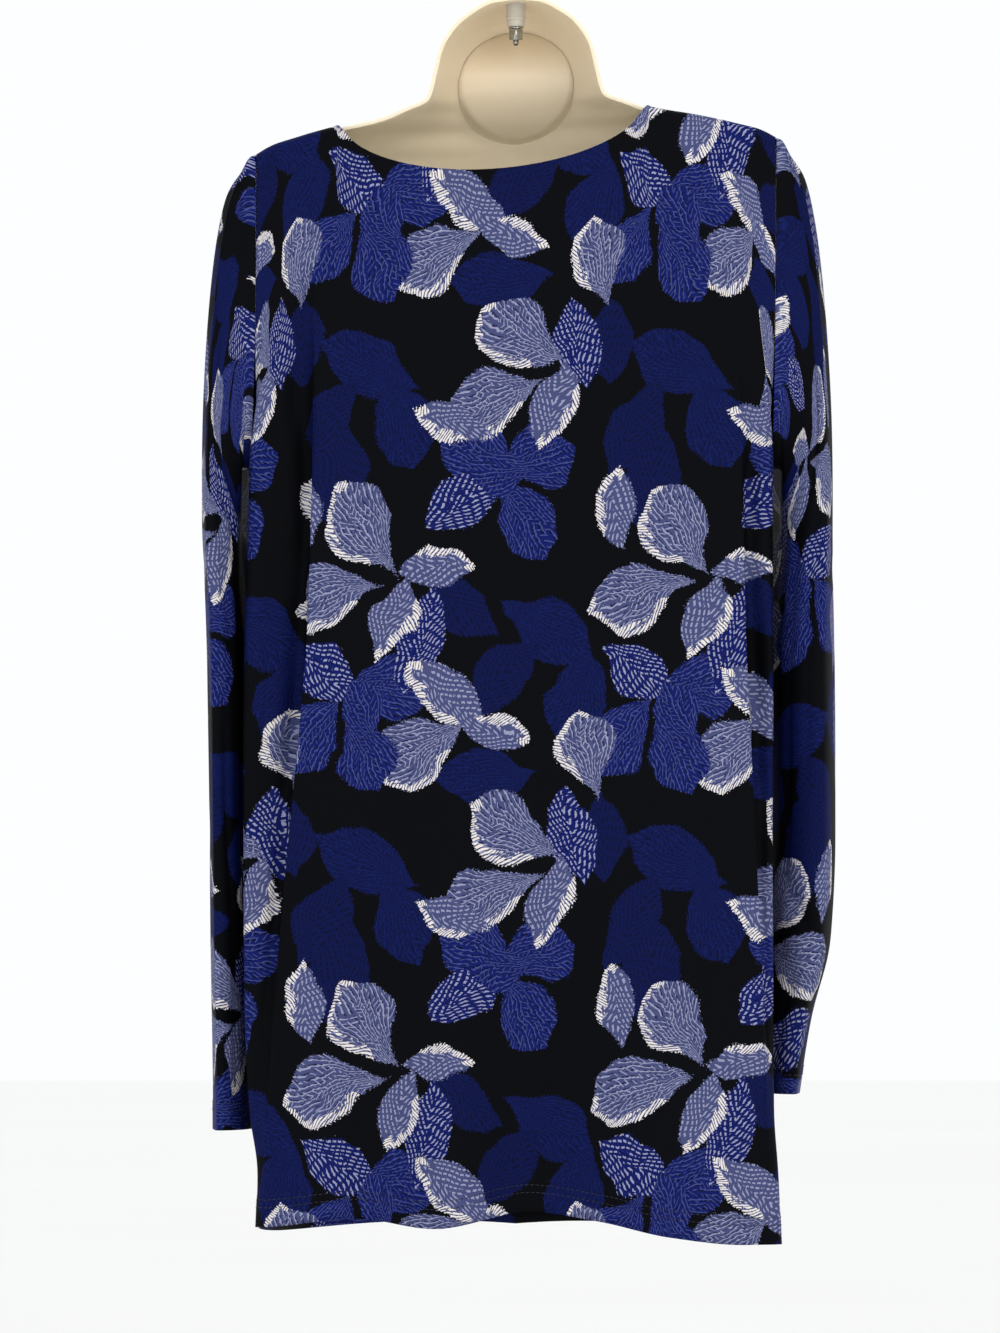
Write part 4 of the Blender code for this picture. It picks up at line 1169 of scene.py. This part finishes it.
class TunicCloth(bpy.types.PropertyGroup):
    thickness: FloatProperty(
        name="Cloth thickness", description="Thickness of the jersey", default=0.0009,
        subtype="DISTANCE", unit="LENGTH")
    hem_depth: FloatProperty(
        name="Hem depth", description="Depth of the turned hems", default=0.019,
        subtype="DISTANCE", unit="LENGTH")
    stitch: FloatProperty(
        name="Stitch length", description="Length of one hem stitch", default=0.0034,
        subtype="DISTANCE", unit="LENGTH")
    thread: FloatProperty(
        name="Thread width", description="Width of the sewing thread", default=0.0005,
        subtype="DISTANCE", unit="LENGTH")
    print_width: FloatProperty(
        name="Print width", description="Width of one repeat of the print", default=0.203,
        subtype="DISTANCE", unit="LENGTH")
    print_height: FloatProperty(
        name="Print height", description="Height of one repeat of the print", default=0.320,
        subtype="DISTANCE", unit="LENGTH")
    ground: FloatVectorProperty(
        name="Ground", description="Colour behind the leaves", default=linear("#040509"), subtype="COLOR")
    charcoal: FloatVectorProperty(
        name="Charcoal", description="Faint leaves on the ground", default=linear("#0F0F10"), subtype="COLOR")
    navy: FloatVectorProperty(
        name="Navy", description="Dark leaves", default=linear("#091140"), subtype="COLOR")
    navy_stroke: FloatVectorProperty(
        name="Navy stroke", description="Strokes on the dark leaves", default=linear("#0E194F"), subtype="COLOR")
    cobalt: FloatVectorProperty(
        name="Cobalt", description="Bright leaves", default=linear("#0E1858"), subtype="COLOR")
    mid_stroke: FloatVectorProperty(
        name="Mid stroke", description="Strokes on the bright leaves", default=linear("#3B4378"), subtype="COLOR")
    periwinkle: FloatVectorProperty(
        name="Periwinkle", description="Pale leaves", default=linear("#40466E"), subtype="COLOR")
    pale_stroke: FloatVectorProperty(
        name="Pale stroke", description="Strokes on the pale leaves", default=linear("#888BA8"), subtype="COLOR")
    shade_stroke: FloatVectorProperty(
        name="Shade stroke", description="Dark strokes on the pale leaves", default=linear("#1F2448"), subtype="COLOR")
    deep_stroke: FloatVectorProperty(
        name="Deep stroke", description="Dark strokes on the blue leaves", default=linear("#070C2B"), subtype="COLOR")
    cream: FloatVectorProperty(
        name="Cream", description="Combed edges of the pale leaves", default=linear("#D6D1CC"), subtype="COLOR")


class TunicForm(bpy.types.PropertyGroup):
    wall: FloatProperty(
        name="Form wall", description="Thickness of the moulded plastic", default=0.0025,
        subtype="DISTANCE", unit="LENGTH")
    plastic: FloatVectorProperty(
        name="Plastic", description="Colour of the plastic", default=linear("#E3D0B6"), subtype="COLOR")
    # Paler tone: a random tint of the frosting, and the colour of the painted highlight along the rim and the dish's
    # outline
    plastic_pale_tone_and_highlight: FloatVectorProperty(
        name="Plastic rim", description="Colour of the plastic's thin edge", default=linear("#E5D4B8"), subtype="COLOR")
    boss: FloatVectorProperty(
        name="Boss", description="Colour of the clear boss", default=linear("#D8D4C8"), subtype="COLOR")
    wire: FloatProperty(
        name="Wire radius", description="Radius of the hook's wire", default=0.002,
        subtype="DISTANCE", unit="LENGTH")


class TunicStage(bpy.types.PropertyGroup):
    paper: FloatVectorProperty(
        name="Paper", description="Colour of the floor and backdrop", default=linear("#FBFBFA"), subtype="COLOR")
    floor_drop: FloatProperty(
        name="Floor height", description="Height of the floor under the hook", default=-1.25,
        subtype="DISTANCE", unit="LENGTH")
    floor_half: FloatProperty(
        name="Floor reach", description="Half of the floor's width", default=14.0,
        subtype="DISTANCE", unit="LENGTH")
    key: FloatProperty(name="Key light", description="Power of the key light", default=20.0, unit="POWER")
    fill: FloatProperty(name="Fill light", description="Power of the fill light", default=5.0, unit="POWER")
    sky: FloatProperty(name="Sky", description="Strength of the light from all round", default=1.02)


class TunicOperator:
    """What the operators share: they add pieces, and can be undone."""

    bl_options = {"REGISTER", "UNDO"}


def sides(left, right, parts):
    """The stations of a panel from the wearer's right seam to the left seam."""
    left, right = finer([0.0] + left, parts), finer([0.0] + right, parts)
    return [(-1.0, share) for share in reversed(right[1:])] + [(1.0, share) for share in left]


def dress(piece, look, node_name):
    piece.data.materials.append(look)
    thicken(piece, bpy.context.scene.tunic_cloth.thickness)
    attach(piece, "root")
    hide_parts(node_name)


class MakeBack(TunicOperator, bpy.types.Operator):
    """Hangs the back from its shoulder seams, with its long side folds and waved hem."""

    bl_idname = "tunic.back"
    bl_label = "Back"

    def execute(self, context):
        stations = sides(BACK_STATIONS, BACK_STATIONS_RIGHT, WALL_PARTS)
        rows = finer(YOKE_ROWS, ROW_PARTS)
        neck_shares = [CREST * NECK_X[s] / crest_x(s, CHEST_Z) for s in (1.0, -1.0)]
        piece = lay_cloth(
            "back_cloth", stations, rows + even(HEM_ROWS, 1.0),
            lambda column, row: back_point(*column, row),
            stations.index((1.0, 0.0)), len(rows) - 1, lambda point: (point[0], -400.0, point[2]),
            panel_shape(BACK_CREASES, neck_shares, stations),
        )
        dress(piece, printed_jersey((52.0, 40.0)), "back_panel")
        return {"FINISHED"}


class MakeFront(TunicOperator, bpy.types.Operator):
    """Drapes the front over the chest, with its scooped neck."""

    bl_idname = "tunic.front"
    bl_label = "Front"

    def execute(self, context):
        stations = sides(FRONT_STATIONS, FRONT_STATIONS_RIGHT, WALL_PARTS)
        rows = finer(YOKE_ROWS, ROW_PARTS)
        piece = lay_cloth(
            "front_cloth", stations, rows + even(HEM_ROWS, 1.0),
            lambda column, row: front_point(*column, row),
            stations.index((1.0, 0.0)), len(rows) - 1, lambda point: (point[0] * 0.4, 60.0, point[2] - 60),
            panel_shape(FRONT_CREASES, FRONT_NECK_SHARES, stations),
        )
        dress(piece, printed_jersey((146.0, 190.0)), "front_panel")
        return {"FINISHED"}


class MakeSleeves(TunicOperator, bpy.types.Operator):
    """Hangs both sleeves from their armholes."""

    bl_idname = "tunic.sleeves"
    bl_label = "Sleeves"

    def execute(self, context):
        around = [i / (24 * SLEEVE_PARTS) for i in range(24 * SLEEVE_PARTS + 1)]
        rows = [0.0] + even(CAP_ROWS)
        for side, name, creases, shift in (
            (1.0, "left", LEFT_SLEEVE_CREASES, (98.0, 262.0)),
            (-1.0, "right", RIGHT_SLEEVE_CREASES, (30.0, 118.0)),
        ):
            piece = lay_cloth(
                f"sleeve_cloth_{name}", around, rows + even(ARM_ROWS, 1.0),
                lambda column, row, side=side: sleeve_point(side, column, row),
                len(around) // 2, len(rows) - 1,
                lambda point, side=side: (side * 185.0, -18.0, point[2] - 20),
                sleeve_shape(creases), closed=True,
            )
            dress(piece, printed_jersey(shift), f"sleeve_{name}")
        return {"FINISHED"}


def stitch_line(name, from_hem):
    """The places and outward ways of a row of stitches, at a distance up from a piece's hem."""
    grid, normal, _, flat_y, closed = laid[name]
    places = []
    for column in range(len(grid)):
        down = flat_y[column][-1] - flat_y[column]
        i = len(down) - 1 - int(np.searchsorted(down[::-1], from_hem))
        i = max(0, min(i, len(down) - 2))
        share = (down[i] - from_hem) / max(down[i] - down[i + 1], 1e-9)
        spot = mix(grid[column][i], grid[column][i + 1], share)
        places.append((Vector(spot), Vector(normal[column][i])))
    return places


def stitch_row(bm, places, length, width, lift):
    """Adds one slim bead of thread for each stitch along a line."""
    run = lengths([place for place, _ in places])
    count = int(run[-1] / length)
    for k in range(count):
        at = (k + 0.5) * length
        i = min(max(bisect.bisect_left(run, at), 1), len(run) - 1)
        share = (at - run[i - 1]) / max(run[i] - run[i - 1], 1e-9)
        spot = places[i - 1][0].lerp(places[i][0], share)
        out = places[i][1]
        way = (places[i][0] - places[i - 1][0]).normalized()
        square = out.cross(way).normalized()
        turn = Matrix((way, square, way.cross(square))).transposed().to_4x4()
        size = Matrix.Diagonal((length * 0.42, width / 2, width / 2, 1.0))
        bmesh.ops.create_uvsphere(
            bm, u_segments=6, v_segments=4, radius=1.0,
            matrix=Matrix.Translation(spot + out * lift) @ turn @ size,
        )


class MakeSewing(TunicOperator, bpy.types.Operator):
    """Sews two rows of stitches round the hem and each cuff."""

    bl_idname = "tunic.sewing"
    bl_label = "Sewing"

    def execute(self, context):
        cloth = context.scene.tunic_cloth
        look = spun_thread()
        for name in ("back_cloth", "front_cloth", "sleeve_cloth_left", "sleeve_cloth_right"):
            if name not in laid:
                raise RuntimeError(f"{name} has to be made before its sewing")
            bm = bmesh.new()
            for from_hem in (cloth.hem_depth - 0.0065, cloth.hem_depth - 0.0015):
                stitch_row(
                    bm, stitch_line(name, from_hem), cloth.stitch, cloth.thread,
                    cloth.thickness / 2 + cloth.thread * 0.2,
                )
            piece = finish_mesh(name.replace("cloth", "stitches"), bm, look)
            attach(piece, "root")
        return {"FINISHED"}


# Form and hook: sizes in millimetres, as in the solids
FORM_COLUMNS = 170
FORM_STEP = 4.5
NECK_STEP = 1.1
# Painted highlight: how far in from the shell's edges it reaches, and how strong it is along the dish's outline
RIM_HIGHLIGHT_WIDTH = 0.006
DISH_HIGHLIGHT_STRENGTH = 0.7
WIRE_R = 2.0
CROOK_R = 17.0
CROOK_TURN = 205.0
SHANK_END_Z = -108.5
THREAD_TOP_Z = -70.0
SHANK_TOP_Z = -66.0
SHANK_REACH = 62.0
BOSS_R = 6.0
BOSS_TOP_Z = -79.0
BOSS_END_Z = -96.0
BORE_R = 2.4
FIT_GAP = 0.3
WASHER_R = 5.0
WASHER_THICK = 1.0
NUT_R = 5.0
NUT_TALL = 7.0
THREAD_PITCH = 0.8
THREAD_DEPTH = 0.22


def spun(name, profile, look, steps=48, closed=False, outline=None):
    """A turned piece: a profile of radius and height in millimetres, spun round the shank."""
    bm = bmesh.new()
    verts = [bm.verts.new((r * MM, 0.0, z * MM)) for r, z in profile]
    pairs = list(zip(verts, verts[1:])) + ([(verts[-1], verts[0])] if closed else [])
    edges = [bm.edges.new(pair) for pair in pairs]
    bmesh.ops.spin(
        bm, geom=verts + edges, cent=(0, 0, 0), axis=(0, 0, 1), angle=2 * math.pi,
        steps=steps, use_merge=True,
    )
    bmesh.ops.remove_doubles(bm, verts=bm.verts, dist=1e-6)
    if outline:
        for vert in bm.verts:
            radius = math.hypot(vert.co.x, vert.co.y)
            grow = outline(radius / MM, math.atan2(vert.co.y, vert.co.x))
            vert.co.x *= grow
            vert.co.y *= grow
    bmesh.ops.recalc_face_normals(bm, faces=bm.faces)
    made = finish_mesh(name, bm, look, angle=35.0)
    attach(made, "root")
    return made


class MakeForm(TunicOperator, bpy.types.Operator):
    """Moulds the torso form with its dished neck, a painted highlight along its rim and round the dish, and its boss.
    """

    bl_idname = "tunic.form"
    bl_label = "Torso form"

    def execute(self, context):
        sizes = context.scene.tunic_form
        levels = [FORM_ROWS[0][0]]
        for above, below in zip(FORM_ROWS, FORM_ROWS[1:]):
            step = NECK_STEP if below[0] >= SHOULDER_FOOT_Z else FORM_STEP
            parts = math.ceil((above[0] - below[0]) / step)
            levels += [mix(above[0], below[0], (i + 1) / parts) for i in range(parts)]
        levels.insert(1, -78.1)
        levels.insert(2, -78.4)
        bm = bmesh.new()
        down = len(levels) - 1
        bmesh.ops.create_grid(bm, x_segments=FORM_COLUMNS, y_segments=down, size=0.5)
        # Painted highlight: the "rim" attribute lifts the colour to the paler tone along both edges of the shell and
        # along the dish's outline
        painted_highlight = bm.verts.layers.float.new("rim")
        for vert in bm.verts:
            across = vert.co.x + 0.5
            z = levels[round((0.5 - vert.co.y) * down)]
            place, dish_highlight_line = form_point(across, z)
            rim = max(0.0, 1 - min(across, 1 - across) / RIM_HIGHLIGHT_WIDTH) ** 0.7
            vert[painted_highlight] = max(rim, dish_highlight_line * DISH_HIGHLIGHT_STRENGTH)
            vert.co = place * MM
        bmesh.ops.remove_doubles(bm, verts=bm.verts, dist=1e-6)
        look = frosted_plastic("frosted polythene", sizes.plastic, sizes.plastic_pale_tone_and_highlight)
        form = finish_mesh("form_shell", bm, look)
        thicken(form, sizes.wall, 1.0)
        rounded = form.modifiers.new("Rim", "BEVEL")
        rounded.width = 0.0007
        rounded.segments = 2
        rounded.limit_method = "ANGLE"
        rounded.angle_limit = math.radians(60)
        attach(form, "root")
        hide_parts("torso_form")
        clear = frosted_plastic("clear polythene", sizes.boss, sizes.plastic_pale_tone_and_highlight)
        boss = spun("form_boss", [
            (BORE_R, BOSS_TOP_Z), (BORE_R, BOSS_END_Z + 0.4), (BORE_R + 0.4, BOSS_END_Z),
            (BOSS_R - 1.0, BOSS_END_Z), (BOSS_R - 0.4, BOSS_END_Z + 0.6),
            (BOSS_R - 0.2, BOSS_END_Z + 4.5), (BOSS_R + 0.5, BOSS_END_Z + 5.0),
            (BOSS_R + 0.5, BOSS_END_Z + 6.2), (BOSS_R, BOSS_END_Z + 6.8), (BOSS_R + 0.6, BOSS_TOP_Z),
        ], clear, closed=True)
        return {"FINISHED"}


class MakeHook(TunicOperator, bpy.types.Operator):
    """Bends the wire hook, and adds its thread and its nut and washer."""

    bl_idname = "tunic.hook"
    bl_label = "Hook"

    def execute(self, context):
        steel = plated_steel()
        middle = CROOK_R + WIRE_R
        top, turn = Vector((0.0, 0.0, SHANK_TOP_Z)), Vector((middle, 0.0, -CROOK_R))
        reach = Vector((0.0, 0.0, SHANK_REACH))
        line = [Vector((0.0, 0.0, THREAD_TOP_Z))]
        line += [hermite(top, turn, reach, reach, i / 24) for i in range(24)]
        for i in range(61):
            angle = math.radians(CROOK_TURN) * i / 60
            line.append(Vector((middle * math.cos(angle), 0.0, -CROOK_R + middle * math.sin(angle))))
        curve = bpy.data.curves.new("hook_wire", "CURVE")
        curve.dimensions = "3D"
        curve.bevel_depth = context.scene.tunic_form.wire
        curve.bevel_resolution = 6
        curve.use_fill_caps = True
        spline = curve.splines.new("POLY")
        spline.points.add(len(line) - 1)
        for point, place in zip(spline.points, line):
            point.co = (*(place * MM), 1.0)
        curve.materials.append(steel)
        wire = bpy.data.objects.new("hook_wire", curve)
        context.scene.collection.objects.link(wire)
        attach(wire, "root")
        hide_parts("hook")
        turns = int((THREAD_TOP_Z - SHANK_END_Z - 2.0) / THREAD_PITCH)
        profile = [(0.0, THREAD_TOP_Z), (WIRE_R, THREAD_TOP_Z)]
        for i in range(turns):
            z = THREAD_TOP_Z - 0.3 - i * THREAD_PITCH
            profile += [(WIRE_R, z), (WIRE_R - THREAD_DEPTH, z - THREAD_PITCH / 2)]
        profile += [(WIRE_R - 0.2, SHANK_END_Z + 1.2), (WIRE_R - 0.9, SHANK_END_Z + 0.2), (0.0, SHANK_END_Z)]
        thread = spun("hook_thread", profile, steel, steps=32)
        washer_top = BOSS_END_Z - FIT_GAP
        washer_low = washer_top - WASHER_THICK
        nut_top = washer_low - FIT_GAP
        nut_low = nut_top - NUT_TALL

        def hexagon(radius, angle):
            """Spreads the nut's outer ring to its six flats."""
            if radius < NUT_R - 0.7:
                return 1.0
            flat = (angle + math.pi / 6) % (math.pi / 3) - math.pi / 6
            wide = NUT_R * math.cos(math.pi / 6) / math.cos(flat)
            return wide / radius if radius > NUT_R - 0.1 else min(1.0, wide / radius)

        nut = spun("hook_nut_shaped", [
            (BORE_R, nut_low + 0.3), (BORE_R, nut_top - 0.3), (BORE_R + 0.5, nut_top),
            (NUT_R - 0.6, nut_top), (NUT_R, nut_top - 0.9), (NUT_R, nut_low + 0.9),
            (NUT_R - 0.6, nut_low), (BORE_R + 0.5, nut_low),
        ], steel, closed=True, outline=hexagon)
        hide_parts("hook_nut")
        washer = spun("hook_washer_shaped", [
            (BORE_R, washer_low), (BORE_R, washer_top), (WASHER_R - 0.2, washer_top),
            (WASHER_R, washer_top - 0.2), (WASHER_R, washer_low + 0.2), (WASHER_R - 0.2, washer_low),
        ], steel, closed=True)
        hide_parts("hook_washer")
        return {"FINISHED"}


# Stage and camera, in metres. The photograph is level, from behind the wearer
PLANE_Y = 0.048
VIEW_X = 0.0103
VIEW_Z = -0.5121
VIEW_FAR = 8.0
VIEW_TALL = 0.8618
SENSOR = 36.0


def area_light(name, place, aim, size, power, tint):
    data = bpy.data.lights.new(name, "AREA")
    data.shape = "DISK"
    data.size = size
    data.energy = power
    data.color = linear(tint)
    made = bpy.data.objects.new(name, data)
    made.location = place
    made.rotation_euler = (Vector(aim) - Vector(place)).to_track_quat("-Z", "Y").to_euler()
    bpy.context.scene.collection.objects.link(made)


class MakeStage(TunicOperator, bpy.types.Operator):
    """Sets the paper floor, the soft lights and the camera."""

    bl_idname = "tunic.stage"
    bl_label = "Stage"

    def execute(self, context):
        scene = context.scene
        stage = scene.tunic_stage
        bm = bmesh.new()
        bmesh.ops.create_grid(
            bm, x_segments=2, y_segments=2, size=stage.floor_half,
            matrix=Matrix.Translation((0.0, 0.0, stage.floor_drop)),
        )
        floor = finish_mesh("paper_floor", bm, plain_paper())
        area_light("key", (-0.9, 2.1, 0.7), (0.0, 0.0, -0.45), 1.6, stage.key, "#FFF7EC")
        area_light("fill", (1.3, 1.9, -0.1), (0.0, 0.0, -0.5), 1.8, stage.fill, "#F4F7FF")
        area_light("front", (0.4, -0.75, 0.9), (0.0, 0.0, -0.4), 1.4, stage.fill, "#FFFFFF")
        world = bpy.data.worlds.new("soft room")
        world.use_nodes = True
        backing = world.node_tree.nodes["Background"]
        backing.inputs["Color"].default_value = (*linear("#FBFCFD"), 1.0)
        backing.inputs["Strength"].default_value = stage.sky
        scene.world = world
        scene.view_settings.view_transform = "Standard"
        data = bpy.data.cameras.new("camera")
        data.sensor_fit = "VERTICAL"
        data.sensor_height = SENSOR
        data.lens = SENSOR * VIEW_FAR / VIEW_TALL
        data.dof.use_dof = False
        camera = bpy.data.objects.new("camera", data)
        camera.location = (VIEW_X, PLANE_Y + VIEW_FAR, VIEW_Z)
        camera.rotation_euler = (math.pi / 2, 0.0, math.pi)
        scene.collection.objects.link(camera)
        scene.camera = camera
        return {"FINISHED"}


class TunicPanel(bpy.types.Panel):
    """Lists the steps that build the tunic and its stage."""

    bl_idname = "VIEW3D_PT_tunic"
    bl_label = "Tunic"
    bl_space_type = "VIEW_3D"
    bl_region_type = "UI"
    bl_category = "Tunic"

    def draw(self, context):
        for settings in (context.scene.tunic_cloth, context.scene.tunic_form, context.scene.tunic_stage):
            for name in settings.__annotations__:
                self.layout.prop(settings, name)
        for step in STEPS:
            self.layout.operator(step.bl_idname)


SETTINGS = {"tunic_cloth": TunicCloth, "tunic_form": TunicForm, "tunic_stage": TunicStage}
STEPS = [MakeBack, MakeFront, MakeSleeves, MakeSewing, MakeForm, MakeHook, MakeStage]


def register():
    for group in [*SETTINGS.values(), *STEPS, TunicPanel]:
        bpy.utils.register_class(group)
    for name, group in SETTINGS.items():
        setattr(bpy.types.Scene, name, PointerProperty(type=group))


def unregister():
    for name in SETTINGS:
        delattr(bpy.types.Scene, name)
    for group in reversed([*SETTINGS.values(), *STEPS, TunicPanel]):
        bpy.utils.unregister_class(group)


def main():
    register()
    for step in ("back", "front", "sleeves", "sewing", "form", "hook", "stage"):
        getattr(bpy.ops.tunic, step)()


if __name__ == "__main__":
    main()
